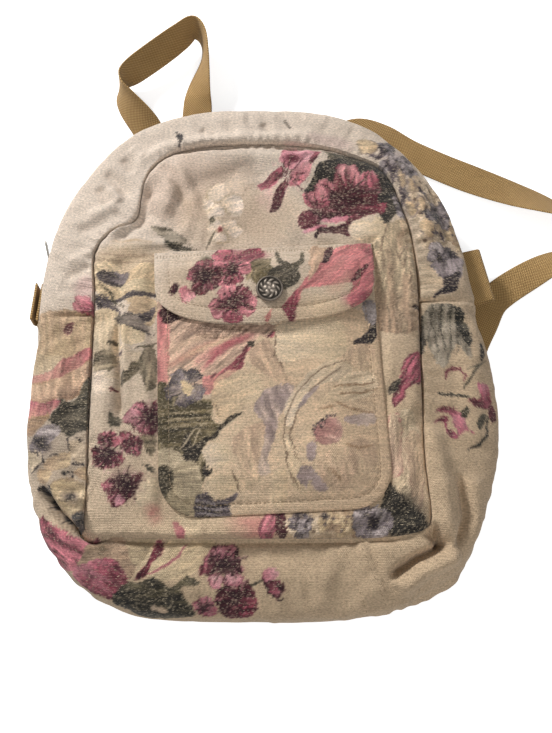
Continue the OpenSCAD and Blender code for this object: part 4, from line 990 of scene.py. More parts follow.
def along_path(x, y, path):
    """Distance of points from a line through places, and how far along it they lie, from 0 to 1."""
    best = np.full(x.shape, 1e9)
    share = np.zeros(x.shape)
    legs = [math.dist(path[k], path[k + 1]) for k in range(len(path) - 1)]
    run = 0.0
    for (x0, y0), (x1, y1), leg in zip(path, path[1:], legs):
        t = clamp01(((x - x0) * (x1 - x0) + (y - y0) * (y1 - y0)) / (leg * leg))
        d = np.hypot(x - x0 - t * (x1 - x0), y - y0 - t * (y1 - y0))
        share = np.where(d < best, (run + t * leg) / sum(legs), share)
        best = np.minimum(best, d)
        run += leg
    return best, share


class Tapestry:
    """A woven floral picture, painted on the points of one piece of cloth."""

    def __init__(self, x, y, ground, seed):
        self.thread_x, self.thread_y = x, y
        # Woven outlines step a little from thread to thread
        jag = hashed(np.floor(x / THREAD_STEP), np.floor(y / THREAD_STEP), seed) - 0.5
        self.x = x + WANDER * mottled(x, y, 6.0, seed + 1, 3) + JAG * jag
        self.y = y + WANDER * mottled(x, y, 6.0, seed + 2, 3) + JAG * jag
        self.colour = np.array(ground, float)
        self.seed = seed
        self.count = 0

    def next_seed(self):
        """A seed of its own for each shape."""
        self.count += 1
        return self.seed + 31 * self.count

    def within(self, low, high):
        """The points inside a box."""
        beside = (self.x > low[0]) & (self.x < high[0])
        return np.nonzero(beside & (self.y > low[1]) & (self.y < high[1]))[0]

    def near(self, x, y, reach):
        """The points inside a square round a place."""
        return self.within((x - reach, y - reach), (x + reach, y + reach))

    def lay(self, at, cover, tint):
        """Lays a tint over points, as densely as its cover says."""
        cover = clamp01(cover)[:, None]
        self.colour[at] = self.colour[at] * (1.0 - cover) + tint * cover

    def wash(self, x, y, across, along, turn, tint, strength):
        """A soft patch of colour."""
        at = self.near(x, y, 2.2 * max(across, along))
        c, s = heading(turn)
        dx, dy = self.x[at] - x, self.y[at] - y
        d = np.hypot((dx * c + dy * s) / across, (dy * c - dx * s) / along)
        d = d + 0.25 * mottled(self.x[at], self.y[at], 9.0, self.seed + 5)
        self.lay(at, strength * ease(1.5 - d), shade(tint))

    def petal(self, x, y, turn, length, width, foot, tip, rim="", widest=0.62, point=1.0, streak=0.5,
              cover=1.0, veins=0.0):
        """One petal or leaf from its foot, shaded to its tip, with streaks along it and a rim."""
        seed = self.next_seed()
        at = self.near(x, y, length + width)
        c, s = heading(turn)
        dx, dy = self.x[at] - x, self.y[at] - y
        u = (dx * c + dy * s) / length
        side = dy * c - dx * s
        ruffle = 0.07 * width * cloudy(u * 5.0 + seed, side / width * 3.0, seed)
        t = np.clip(u, 1e-4, 1.0 - 1e-4)
        half = (t / widest) ** (widest * point) * ((1.0 - t) / (1.0 - widest)) ** ((1.0 - widest) * point)
        inside = (half * width / 2.0 - np.abs(side)) + ruffle
        inside = np.where((u > 0.0) & (u < 1.0), inside, -5.0)
        inside = np.minimum(inside, np.minimum(u, 1.0 - u) * length * 1.5 + 0.3)
        keep = inside > -0.6
        at, u, side, inside, half = at[keep], t[keep], side[keep], inside[keep], half[keep]
        v = side / (half * width / 2.0 + 0.3)
        line = cloudy(v * width / 2.6 + 3.0 * seed, u * 2.2, seed + 3)
        fine = cloudy(v * width / 1.1, u * length / 7.0, seed + 5)
        body = mix(shade(foot), shade(tip), clamp01(u**1.2 + streak * 0.55 * line)[:, None])
        body = body * (1.0 + streak * (0.2 * line + 0.2 * fine))[:, None]
        if veins:
            rib = np.exp(-((side / 0.8) ** 2))
            branch = ease((np.cos(2.0 * math.pi * (u * length - 0.9 * np.abs(side)) / 5.0) - 0.55) / 0.4)
            body = body * (1.0 + veins * (0.35 * rib + 0.16 * branch))[:, None]
        if rim:
            broken = clamp01(0.55 + 0.8 * cloudy(u * 4.0, v * 2.0 + seed, seed + 9))
            edge = ease((1.7 - inside) / 1.5) * broken
            body = mix(body, shade(rim), 0.85 * edge[:, None])
        self.lay(at, cover * ease((inside + 0.45) / 0.9), body)

    def field(self, path, tint, other, turn=0.0, streak=0.4, rim="", cover=1.0):
        """A closed patch, shaded from one colour to another along a direction, with streaks and a rim."""
        seed = self.next_seed()
        loop = rounded(path)
        at = self.within(loop.min(axis=0) - 2.0, loop.max(axis=0) + 2.0)
        x, y = self.x[at], self.y[at]
        inside = inside_reach(x, y, loop) + 0.4 * cloudy(x / 2.3, y / 2.3, seed)
        c, s = heading(turn)
        run = loop @ np.array([c, s])
        u = (x * c + y * s - run.min()) / np.ptp(run)
        line = cloudy((y * c - x * s) / 2.2 + seed, u * np.ptp(run) / 17.0, seed + 3)
        fine = cloudy((y * c - x * s) / 0.9, u * np.ptp(run) / 7.0, seed + 5)
        stain = mottled(x, y, 11.0, seed + 7, 3)
        share = clamp01(u + streak * (0.6 * line + 0.5 * stain))
        body = mix(shade(tint), shade(other), share[:, None])
        body = body * (1.0 + streak * (0.2 * line + 0.2 * fine))[:, None]
        if rim:
            broken = clamp01(0.5 + 0.9 * cloudy(x / 6.0, y / 6.0, seed + 9))
            edge = ease((2.4 - inside) / 2.2) * broken
            body = mix(body, shade(rim), 0.85 * edge[:, None])
        self.lay(at, cover * ease((inside + 0.45) / 0.9), body)

    def fields(self, paths, *values):
        """Several patches of one kind."""
        for path in paths:
            self.field(path, *values)

    def smear(self, path, width, tint, strength):
        """A soft, broken stroke of colour along points."""
        seed = self.next_seed()
        spots = np.array(path, float)
        at = self.within(spots.min(axis=0) - 1.3 * width, spots.max(axis=0) + 1.3 * width)
        reach, share = along_path(self.x[at], self.y[at], path)
        rough = 0.8 + 0.7 * mottled(self.x[at], self.y[at], 5.0, seed, 3)
        fade = 0.4 + 0.6 * np.sin(math.pi * np.clip(0.1 + 0.8 * share, 0.0, 1.0))
        self.lay(at, 1.5 * strength * fade * np.exp(-((reach / (0.6 * width)) ** 2)) * rough, shade(tint))

    def leaf(self, x, y, turn, length, width, foot, tip):
        """A pointed leaf with its ribs."""
        self.petal(x, y, turn, length, width, foot, tip, "", 0.42, 1.7, 0.5, 1.0, 0.7)

    def dot(self, x, y, size, tint, strength=1.0):
        """A small round spot."""
        at = self.near(x, y, 2.0 * size)
        d = np.hypot(self.x[at] - x, self.y[at] - y) / size
        self.lay(at, strength * ease(1.6 - d), shade(tint))

    def stroke(self, path, width, tint, strength=1.0):
        """A painted line through points, thin at its two ends."""
        legs = [math.dist(path[k], path[k + 1]) for k in range(len(path) - 1)]
        whole, run = sum(legs), 0.0
        for (x0, y0), (x1, y1), leg in zip(path, path[1:], legs):
            at = self.near((x0 + x1) / 2.0, (y0 + y1) / 2.0, leg / 2.0 + 2.0 * width + 1.0)
            dx, dy = self.x[at] - x0, self.y[at] - y0
            t = np.clip((dx * (x1 - x0) + dy * (y1 - y0)) / (leg * leg + 1e-9), 0.0, 1.0)
            d = np.hypot(dx - t * (x1 - x0), dy - t * (y1 - y0))
            share = (run + t * leg) / whole
            thick = width / 2.0 * (0.45 + 0.55 * np.sin(math.pi * np.clip(0.08 + 0.84 * share, 0.0, 1.0)))
            self.lay(at, strength * ease((thick - d + 0.5) / 0.9), shade(tint))
            run += leg

    def strokes(self, paths, *values):
        """Several strokes of one kind."""
        for path in paths:
            self.stroke(path, *values)

    def comb(self, first, last, count, width, tint, other, strength):
        """Lines spread evenly from a first one to a last one, in two colours by turns."""
        for k in range(count):
            path = mix(np.array(first, float), np.array(last, float), k / (count - 1))
            self.stroke(path, width, other if k % 2 else tint, strength)

    def ray(self, x, y, turn, near, far, *values):
        """A stroke that points away from a place."""
        c, s = heading(turn)
        self.stroke([(x + near * c, y + near * s), (x + far * c, y + far * s)], *values)

    def rays(self, x, y, start, reach, count, tint, strength):
        """Thin uneven lines that spread from a flower's heart."""
        for k in range(count):
            wobble = chance(k + 11 * count, int(x) + 300, self.seed)
            turn = 360.0 * (k + 0.6 * wobble) / count
            self.ray(x, y, turn, start * reach, reach * (0.6 + 0.55 * wobble), 1.0, tint, strength)

    def blossom(self, x, y, size, turn, petals, kind):
        """A small open flower with a dark heart."""
        deep, middle, pale, heart = FLOWERS[kind]
        for k in range(petals):
            wobble = chance(k + 7 * self.count, self.seed, 5)
            way = turn + 360.0 * k / petals + 24.0 * (wobble - 0.5)
            foot, tip = middle if k % 2 else deep, pale if k % 3 else middle
            self.petal(x, y, way, size * (0.85 + 0.3 * wobble), 0.98 * size, foot, tip, deep, 0.66, 0.85, 0.8)
        self.dot(x, y, 0.2 * size, heart, 0.9)
        for k in range(petals):
            self.ray(x, y, turn + 360.0 * (k + 0.3) / petals, 0.0, 0.42 * size, 0.7, heart, 0.7)

    def cluster(self, x, y, across, along, florets, size, kind):
        """A crowd of tiny flowers with four petals, spread by the golden angle."""
        deep, middle, pale, heart = FLOWERS[kind]
        for k in range(florets):
            r = math.sqrt((k + 0.5) / florets)
            c, s = heading(GOLDEN_ANGLE * k)
            cx, cy = x + across * r * c, y + along * r * s
            for j in range(4):
                tip = pale if (k + j) % 3 else deep
                self.petal(cx, cy, 90.0 * j + 37.0 * k, size, 0.9 * size, middle, tip, deep, 0.62, 0.8, 0.6)
            self.dot(cx, cy, 0.18 * size, heart, 0.8)

    def draw(self, rows):
        """Paints a list of rows, each the name of a shape and its values."""
        for name, *values in rows:
            getattr(self, name)(*values)

    def woven(self):
        """The painted colours with the light and dark threads of the weave in them."""
        x, y, seed = self.thread_x, self.thread_y, self.seed
        fleck = hashed(np.floor(x / 1.3), np.floor(y / 0.75), seed + 11)
        row = hashed(np.floor(y / 0.8), np.floor(x / 14.0), seed + 13)
        level = self.colour @ np.array([0.3, 0.59, 0.11])
        self.colour = self.colour * (0.6 + 0.4 * ease((level - 0.22) / 0.32))[:, None]
        dark = clamp01(1.35 - 2.6 * self.colour.mean(axis=1))
        pale = shade(PALE_THREAD)
        self.colour = mix(self.colour, pale, (0.45 * dark * (fleck > 0.89))[:, None])
        self.colour = mix(self.colour, pale, (0.16 * dark * (row > 0.7))[:, None])
        tone = 1.0 + 0.055 * (fleck - 0.5) + 0.05 * (row - 0.5) + 0.05 * mottled(x, y, 26.0, seed + 19)
        return np.clip(self.colour * tone[:, None], 0.0, 1.0)


def painted(name, x, y, seed, rows=None):
    """Colours of one cloth's print at its points, on a ground with painted light and shade across it."""
    # The ground runs from pale at the upper left to tan at the lower right: partly the print's own ground,
    # partly painted light at the upper left and painted shade at the lower right
    ground_and_shade_share = ease(0.5 + (0.55 * x - 0.75 * y) / 260.0).ravel()
    colours = bpy.context.scene.backpack_colours
    pale, tan = np.array(shown(colours.ground_pale)), np.array(shown(colours.ground_tan))
    picture = Tapestry(x.ravel(), y.ravel(), mix(pale, tan, ground_and_shade_share[:, None]), seed)
    picture.draw(PRINT[name] if rows is None else rows)
    return picture.woven()


def square_to_panel(columns, rows, edge):
    """Plan points of a panel: a square net drawn out to an outline given by its radius at an angle."""
    s = np.linspace(-1.0, 1.0, columns)[None, :] * np.ones((rows, 1))
    t = np.linspace(-1.0, 1.0, rows)[:, None] * np.ones((1, columns))
    k = np.maximum(np.abs(s), np.abs(t))
    safe = np.maximum(k, 1e-9)
    # Walk along the square's rim, and take the same share of each quarter of the outline
    u, v = s / safe, t / safe
    upright = np.abs(u) >= np.abs(v)
    share = np.where(upright, v, u)
    right = CORNER_ANGLE * share
    top = 90.0 - (90.0 - CORNER_ANGLE) * share
    a = np.where(upright, np.where(u > 0.0, right, 180.0 - right), np.where(v > 0.0, top, -top))
    r = k * edge(a)
    return r * np.cos(np.radians(a)), r * np.sin(np.radians(a)), k


def folded(x, y, folds):
    """Height added by soft folds, each a line with a width and a height that fade at its ends."""
    total = np.zeros(x.shape)
    for path, width, height in folds:
        low = np.array(path).min(axis=0) - 3.0 * width
        high = np.array(path).max(axis=0) + 3.0 * width
        at = np.nonzero((x > low[0]) & (x < high[0]) & (y > low[1]) & (y < high[1]))
        d, share = along_path(x[at], y[at], path)
        fade = ease(share / 0.2) * ease((1.0 - share) / 0.2)
        total[at] += height * fade * np.exp(-((d / width) ** 2))
    return total


def surface_normals(net):
    """Outward directions of a net of points, from its rows and columns."""
    n = np.cross(np.gradient(net, axis=1), np.gradient(net, axis=0))
    return n / np.maximum(np.linalg.norm(n, axis=2, keepdims=True), 1e-9)


def beside_each(values):
    """The neighbours of each value of a table, on its four sides."""
    p = np.pad(values, 1, mode="edge")
    return p[:-2, 1:-1], p[2:, 1:-1], p[1:-1, :-2], p[1:-1, 2:]


def meshed(bm, name, smooth=True):
    """A mesh of a finished shape, with smooth or flat faces."""
    mesh = bpy.data.meshes.new(name)
    bm.to_mesh(mesh)
    bm.free()
    mesh.polygons.foreach_set("use_smooth", np.full(len(mesh.polygons), smooth))
    return mesh


def placed(name, data):
    """An object in the scene for a mesh, a lamp or a camera."""
    piece = bpy.data.objects.new(name, data)
    bpy.context.scene.collection.objects.link(piece)
    return piece


def spare_piece(name, net):
    """A plain mesh object from a net of points in metres, for a simulation only."""
    rows, columns = net.shape[:2]
    bm = bmesh.new()
    bmesh.ops.create_grid(bm, x_segments=columns - 1, y_segments=rows - 1, size=1.0)
    mesh = meshed(bm, name, False)
    mesh.vertices.foreach_set("co", net.ravel())
    mesh.update()
    return placed(name, mesh)


def drawn_out(values, rows, columns):
    """A coarse table of values drawn out smoothly to more rows and columns."""
    for axis, count in ((1, columns), (0, rows)):
        size = values.shape[axis]
        place = np.linspace(0.0, size - 1.0, count)
        i = np.clip(np.floor(place).astype(int), 0, size - 2)
        t = (place - i)[None, :] if axis == 1 else (place - i)[:, None]
        a, b, c, d = (np.take(values, np.clip(i + k, 0, size - 1), axis=axis) for k in (-1, 0, 1, 2))
        values = spline(a, b, c, d, t)
    return values


def settled(base, slack, bending):
    """Lets a slack copy of a cloth settle on its filling by simulation: how far each of its points rises."""
    rows, columns = base.shape[:2]
    picks = []
    for axis, count in ((0, rows), (1, columns)):
        spacing = np.linalg.norm(np.diff(base, axis=axis), axis=2).mean()
        cells = int((count - 1) * spacing / SETTLE_CELL)
        picks.append(np.linspace(0, count - 1, cells + 1).round().astype(int))
    net = base[np.ix_(*picks)]
    out = surface_normals(net)
    filling = spare_piece("filling", (net - 0.6 * out) * MM)
    filling.modifiers.new("filling", "COLLISION")
    filling.collision.thickness_outer = 0.001
    start = net + out * (2.2 + 0.5 * cloudy(net[..., 0] / 9.0, net[..., 1] / 9.0, 77))[..., None]
    slack_cloth = spare_piece("slack_cloth", start * MM)
    grid = np.arange(net.shape[0] * net.shape[1]).reshape(net.shape[:2])
    edge = np.concatenate([grid[0], grid[-1], grid[1:-1, 0], grid[1:-1, -1]])
    slack_cloth.vertex_groups.new(name="held").add([int(v) for v in edge], 1.0, "REPLACE")
    settle = slack_cloth.modifiers.new("settle", "CLOTH")
    settle.settings.quality = 6
    settle.settings.mass = 0.25
    settle.settings.tension_stiffness = 18.0
    settle.settings.compression_stiffness = 18.0
    settle.settings.shear_stiffness = 6.0
    settle.settings.bending_stiffness = bending
    settle.settings.shrink_min = -slack
    settle.settings.vertex_group_mass = "held"
    settle.settings.effector_weights.gravity = 0.7
    settle.collision_settings.distance_min = 0.001
    settle.collision_settings.collision_quality = 3
    settle.point_cache.frame_end = SETTLE_FRAMES
    scene = bpy.context.scene
    for k in range(1, SETTLE_FRAMES + 1):
        scene.frame_set(k)
    places = np.empty(net.size)
    slack_cloth.evaluated_get(bpy.context.evaluated_depsgraph_get()).data.vertices.foreach_get("co", places)
    rise = ((places.reshape(net.shape) / MM - start) * out).sum(axis=2)
    for piece in (slack_cloth, filling):
        mesh = piece.data
        bpy.data.objects.remove(piece)
        bpy.data.meshes.remove(mesh)
    scene.frame_set(1)
    for _ in range(2):
        rise = (4.0 * rise + sum(beside_each(rise))) / 8.0
    rise = rise - np.median(rise)
    return drawn_out(SETTLE_MOST * np.tanh(rise / SETTLE_MOST), rows, columns)


class Wire:
    """One output of a shader node, so that sums on values are written as plain maths."""

    def __init__(self, nodes, out):
        self.nodes = nodes
        self.out = out

    def maths(self, operation, first, second):
        return self.nodes.node("ShaderNodeMath", {"operation": operation}, {0: first, 1: second})

    def __add__(self, other):
        return self.maths("ADD", self, other)

    __radd__ = __add__

    def __sub__(self, other):
        return self.maths("SUBTRACT", self, other)

    def __rsub__(self, other):
        return self.maths("SUBTRACT", other, self)

    def __mul__(self, other):
        return self.maths("MULTIPLY", self, other)

    __rmul__ = __mul__

    def __truediv__(self, other):
        return self.maths("DIVIDE", self, other)

    def __pow__(self, other):
        return self.maths("POWER", self, other)

    def least(self, other):
        return self.maths("MINIMUM", self, other)

    def limited(self):
        return self.maths("MAXIMUM", self, 0.0).least(1.0)

    def wave(self, pitch):
        return self.maths("SINE", self * (2.0 * math.pi / pitch), 0.0)

    def size(self):
        return self.maths("ABSOLUTE", self, 0.0)

    def whole(self):
        return self.maths("FLOOR", self, 0.0)

    def even(self):
        return self.maths("PINGPONG", self, 1.0)


class Nodes:
    """A tree of shader nodes, written as expressions."""

    def __init__(self, tree):
        self.tree = tree

    def node(self, kind, settings=None, inputs=None, out=0):
        """Adds any node: its settings first, then the values or links of its sockets."""
        made = self.tree.nodes.new(kind)
        for name, value in (settings or {}).items():
            setattr(made, name, value)
        for socket, value in (inputs or {}).items():
            if isinstance(value, Wire):
                self.tree.links.new(value.out, made.inputs[socket])
            else:
                made.inputs[socket].default_value = value
        return Wire(self, made.outputs[out])

    def seen(self):
        """One for light on its way to the camera, by mirrors or glass too, and nought for other light."""
        camera = self.node("ShaderNodeLightPath", None, None, "Is Camera Ray")
        mirror = self.node("ShaderNodeLightPath", None, None, "Is Glossy Ray")
        glass = self.node("ShaderNodeLightPath", None, None, "Is Transmission Ray")
        return (camera + mirror + glass).least(1.0)


class Finish(Nodes):
    """A material, written as expressions on its nodes."""

    def __init__(self, name, **constants):
        self.material = bpy.data.materials.new(name)
        self.material.use_nodes = True
        super().__init__(self.material.node_tree)
        self.shader = self.tree.nodes["Principled BSDF"]
        for socket, value in constants.items():
            self.shader.inputs[socket.replace("_", " ")].default_value = value

    def feed(self, socket, wire):
        """Links a value that changes over the surface to one socket of the shader."""
        self.tree.links.new(wire.out, self.shader.inputs[socket])

    def blend(self, first, second, share, way="MIX"):
        """One colour mixed with another."""
        inputs = {0: share, 6: first, 7: second}
        return self.node("ShaderNodeMix", {"data_type": "RGBA", "blend_type": way}, inputs, 2)

    def own_place(self):
        """Places in a piece's own axes."""
        return self.node("ShaderNodeTexCoord", None, None, 3)

    def in_mm(self, where):
        """The first two parts of a place, in millimetres."""
        return [self.node("ShaderNodeSeparateXYZ", None, {0: where}, k) * 1000.0 for k in (0, 1)]

    def threads(self):
        """A piece's own map, and its two thread directions in millimetres."""
        where = self.node("ShaderNodeUVMap", {"uv_map": "threads"})
        return where, *self.in_mm(where)

    def noise(self, where, scale, detail=2.0, rough=0.5):
        """Soft noise over a piece, with three scales where it is stretched."""
        if isinstance(scale, tuple):
            where = self.node("ShaderNodeVectorMath", {"operation": "MULTIPLY"}, {0: where, 1: scale})
            scale = 1.0
        inputs = {"Vector": where, "Scale": scale, "Detail": detail, "Roughness": rough}
        return self.node("ShaderNodeTexNoise", None, inputs)

    def relief(self, height, strength, distance):
        """Lets a height stand out of the surface."""
        inputs = {"Strength": strength, "Distance": distance, "Height": height}
        self.feed("Normal", self.node("ShaderNodeBump", None, inputs))


def tint(value):
    """A colour of four parts from one of three."""
    return (*value, 1.0)


def tapestry_finish(colours):
    """Woven picture cloth: painted threads with small ribs, and pale flecks where the picture is dark."""
    f = Finish("tapestry_weave", Roughness=0.88, Sheen_Weight=0.12, Sheen_Roughness=0.5,
               Specular_IOR_Level=0.22)
    where, u, v = f.threads()
    picture = f.node("ShaderNodeVertexColor", {"layer_name": "print"})
    bright = f.node("ShaderNodeRGBToBW", None, {0: picture})
    fleck = f.noise(where, (520.0, 950.0, 1.0), 2.0, 0.6)
    slub = f.noise(where, 90.0, 3.0, 0.6)
    dash = f.noise(where, (420.0, 1150.0, 1.0), 1.0, 0.5)
    dark = ((0.34 - bright) * 4.0).limited()
    pale = ((dash - 0.6) * 9.0).limited() * dark * 0.55
    level = 0.16 + 1.45 * fleck + 0.2 * slub
    rib = v.wave(WEFT_PITCH)
    warp = (u + (v / WEFT_PITCH).whole() * (WARP_PITCH / 2.0)).wave(WARP_PITCH)
    grey = f.node("ShaderNodeCombineColor", None, {0: level, 1: level, 2: level})
    woven = f.blend(picture, tint(colours.fleck), pale)
    f.feed("Base Color", f.blend(woven, grey, 1.0, "MULTIPLY"))
    f.feed("Roughness", 0.82 + 0.12 * fleck)
    f.relief(0.55 * rib + 0.45 * warp * (0.6 + 0.8 * fleck), 0.6, 0.0005)
    return f.material


def webbing_finish(colours):
    """Khaki webbing in a slanting basket weave, with painted shade in the gaps between its threads."""
    f = Finish("khaki_webbing", Roughness=0.75, Sheen_Weight=0.10, Specular_IOR_Level=0.3)
    where, u, v = f.threads()
    one = (u + v).wave(2.0 * WEBBING_PITCH).size()
    other = (u - v).wave(2.0 * WEBBING_PITCH).size()
    lump = (one * other) ** 0.6
    worn = f.noise(where, 60.0, 3.0, 0.6)
    thread = f.noise(where, 1400.0, 1.0, 0.5)
    level = (lump * 1.5 + worn * 0.5 + thread * 0.3 - 0.75).limited()
    # Partly painted shade: the gaps between the raised threads are darker, with random tone from the wear and
    # thread noise on top
    f.feed("Base Color", f.blend(tint(colours.webbing_dark), tint(colours.webbing), level))
    f.feed("Roughness", 0.66 + 0.2 * thread)
    f.relief(lump + 0.3 * thread, 0.8, 0.0006)
    return f.material


def tape_finish(colours):
    """Zip tape in a fine herringbone."""
    f = Finish("zip_tape_weave", Roughness=0.8)
    where, u, v = f.threads()
    rib = (u + (v / TAPE_PITCH).even() * TAPE_PITCH).wave(TAPE_RIB)
    worn = f.noise(where, 120.0, 2.0, 0.6)
    level = (0.5 + 0.35 * rib) * 0.6 + 0.4 * worn
    f.feed("Base Color", f.blend((0.008, 0.008, 0.009, 1.0), tint(colours.zip_tape), level))
    f.feed("Roughness", 0.7 + 0.2 * worn)
    f.relief(rib, 0.5, 0.0003)
    return f.material


def metal_finish(name, colours, roughness, scale):
    """Metal with a slightly clouded, handled face."""
    f = Finish(name, Metallic=1.0)
    where = f.own_place()
    cloud = f.noise(where, scale, 4.0, 0.6)
    fine = f.noise(where, scale * 12.0, 2.0, 0.5)
    level = (cloud * 1.3 - 0.15).limited()
    f.feed("Base Color", f.blend(tint(colours.nickel_dark), tint(colours.nickel), level))
    f.feed("Roughness", roughness + 0.18 * (cloud - 0.5) + 0.10 * (fine - 0.5))
    f.relief(fine, 0.15, 0.0002)
    return f.material


def old_silver_finish(colours):
    """Cast pewter, dark in its hollows and rubbed bright on its ridges."""
    f = Finish("old_silver", Metallic=0.85)
    worn = f.node("ShaderNodeVertexColor", {"layer_name": "worn"})
    ridge = f.node("ShaderNodeSeparateColor", None, {0: worn}, 0)
    cloud = f.noise(f.own_place(), 420.0, 3.0, 0.6)
    level = (ridge * 1.1 + 0.5 * (cloud - 0.5)).limited()
    f.feed("Base Color", f.blend(tint(colours.silver_dark), tint(colours.silver), level))
    f.feed("Roughness", 0.62 - 0.22 * ridge + 0.15 * cloud)
    f.relief(cloud, 0.3, 0.0003)
    return f.material


def thread_finish(colours):
    """Sewing thread with its twist."""
    f = Finish("sewing_thread", Roughness=0.7, Sheen_Weight=0.1)
    where = f.own_place()
    x, y = f.in_mm(where)
    cloud = f.noise(where, 160.0, 2.0, 0.6)
    f.feed("Base Color", f.blend(tint(colours.thread_dark), tint(colours.thread), cloud))
    f.feed("Roughness", 0.62 + 0.2 * cloud)
    f.relief((x + y).wave(TWIST_PITCH), 0.4, 0.0002)
    return f.material


FINISHES = {
    "tapestry": tapestry_finish,
    "webbing": webbing_finish,
    "zip_tape": tape_finish,
    "old_silver": old_silver_finish,
    "thread": thread_finish,
    "zip_metal": lambda colours: metal_finish("dark_nickel", colours, 0.36, 260.0),
    "zip_chain": lambda colours: metal_finish("zip_teeth_nickel", colours, 0.45, 500.0),
}


@lru_cache(maxsize=None)
def finish_of(name):
    """A finish by its name, made once."""
    return FINISHES[name](bpy.context.scene.backpack_colours)


def show(name, mesh, finish, slot, *nodes):
    """Puts a finished mesh in the scene, on the bag, for the solid nodes that it stands for."""
    piece = placed(name, mesh)
    mesh.materials.append(finish_of(finish))
    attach(piece, "bag")
    if nodes:
        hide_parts(*nodes)
    return piece


def refinish(finish, *nodes):
    """Gives solid nodes that stay in view a finish."""
    for node in nodes:
        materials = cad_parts[node].data.materials
        materials.clear()
        materials.append(finish_of(finish))


def area_of(net):
    """Area in square metres of a net of points in millimetres."""
    crossed = np.cross(net[1:, 1:] - net[:-1, :-1], net[1:, :-1] - net[:-1, 1:])
    return float(np.linalg.norm(crossed, axis=2).sum() / 2.0) * 1e-6


def inside_of(base, net, wall):
    """A coarser net for the lining, laid deep enough to stay under the folds of the outer net."""
    out = surface_normals(base)
    deep = np.maximum(0.0, -((net - base) * out).sum(axis=2))
    for _ in range(7):
        deep = np.maximum.reduce([deep, *beside_each(deep)])
    return (base - (wall + deep)[..., None] * out)[::3, ::3]


def cloth(name, node, base, net, x, y, picture):
    """A closed piece of cloth: its fine outer net, a coarser lining net, and the turned edge between them."""
    rows, columns = net.shape[:2]
    inner = inside_of(base, net, bpy.context.scene.backpack_sizes.cloth_wall / MM)
    low_rows, low_columns = inner.shape[:2]
    bm = bmesh.new()
    bmesh.ops.create_grid(bm, x_segments=columns - 1, y_segments=rows - 1, size=1.0)
    face = bmesh.ops.create_grid(bm, x_segments=low_columns - 1, y_segments=low_rows - 1, size=1.0)
    bmesh.ops.reverse_faces(bm, faces=list({f for v in face["verts"] for f in v.link_faces}))
    bm.verts.ensure_lookup_table()
    whole = rows * columns
    rim = [(0, c) for c in range(columns)] + [(r, columns - 1) for r in range(1, rows)]
    rim += [(rows - 1, c) for c in range(columns - 2, -1, -1)] + [(r, 0) for r in range(rows - 2, 0, -1)]
    out = [bm.verts[r * columns + c] for r, c in rim]
    under = [bm.verts[whole + (r // 3) * low_columns + c // 3] for r, c in rim[::3]]
    for k in range(len(under)):
        o = [out[(3 * k + j) % len(out)] for j in range(4)]
        i, j = under[k], under[(k + 1) % len(under)]
        bm.faces.new((o[1], o[0], i))
        bm.faces.new((o[2], o[1], i, j))
        bm.faces.new((o[3], o[2], j))
    mesh = meshed(bm, name)
    places = np.concatenate([net.reshape(-1, 3), inner.reshape(-1, 3)]) * MM
    mesh.vertices.foreach_set("co", places.ravel())
    tones = np.concatenate([linear(picture), np.tile(linear(shade(LINING)), (inner.size // 3, 1))])
    layer = mesh.color_attributes.new("print", "FLOAT_COLOR", "POINT")
    layer.data.foreach_set("color", np.column_stack([tones, np.ones(len(tones))]).ravel())
    threads = np.stack([x, y], 2)
    maps = np.concatenate([threads.reshape(-1, 2), threads[::3, ::3].reshape(-1, 2)]) * MM
    corner = np.empty(len(mesh.loops), np.int32)
    mesh.loops.foreach_get("vertex_index", corner)
    mesh.uv_layers.new(name="threads").data.foreach_set("uv", maps[corner].ravel())
    mesh.set_sharp_from_angle(angle=math.radians(55.0))
    mesh.update()
    return show(name, mesh, "tapestry", "tapestry", node)


def run_of(points):
    """Length along a path up to each of its points."""
    return np.concatenate([[0.0], np.cumsum(np.linalg.norm(np.diff(points, axis=0), axis=1))])


def band_section(width, thick, across):
    """Points round a flat band's section, rounded at its two edges."""
    r = thick / 2.0
    flat = np.linspace(-width / 2.0 + r, width / 2.0 - r, across)
    turn = np.radians([-60.0, -20.0, 20.0, 60.0])
    points = [(x, -r) for x in flat]
    points += [(width / 2.0 - r + r * math.cos(t), r * math.sin(t)) for t in turn]
    points += [(x, r) for x in flat[::-1]]
    points += [(-width / 2.0 + r - r * math.cos(t), -r * math.sin(t)) for t in turn]
    return np.array(points)


def band(name, node, finish, centres, wide, flat, section_points):
    """A closed band: a section set square to a path in millimetres, with its thread map."""
    across, through = section_points[None, :, :1], section_points[None, :, 1:]
    rings = centres[:, None] + across * wide[:, None] + through * flat[:, None]
    run = run_of(centres)
    n, m = rings.shape[:2]
    bm = bmesh.new()
    bmesh.ops.create_grid(bm, x_segments=m, y_segments=n - 1, size=1.0)
    layer = bm.loops.layers.uv.new("threads")
    for k, v in enumerate(bm.verts):
        i, j = k // (m + 1), k % (m + 1) % m
        v.co = Vector(rings[i, j] * MM)
        for loop in v.link_loops:
            loop[layer].uv = (run[i] * MM, section_points[j, 0] * MM)
    bmesh.ops.remove_doubles(bm, verts=bm.verts, dist=1e-7)
    bmesh.ops.holes_fill(bm, edges=[e for e in bm.edges if e.is_boundary])
    bmesh.ops.recalc_face_normals(bm, faces=bm.faces)
    mesh = meshed(bm, name)
    mesh.set_sharp_from_angle(angle=math.radians(60.0))
    return show(name, mesh, finish, finish, node)


def uneven(x, y, seed):
    """Gentle unevenness of filled cloth, in millimetres."""
    return 0.9 * mottled(x, y, 46.0, seed, 2) + 0.28 * mottled(x, y, 13.0, seed + 40, 2)


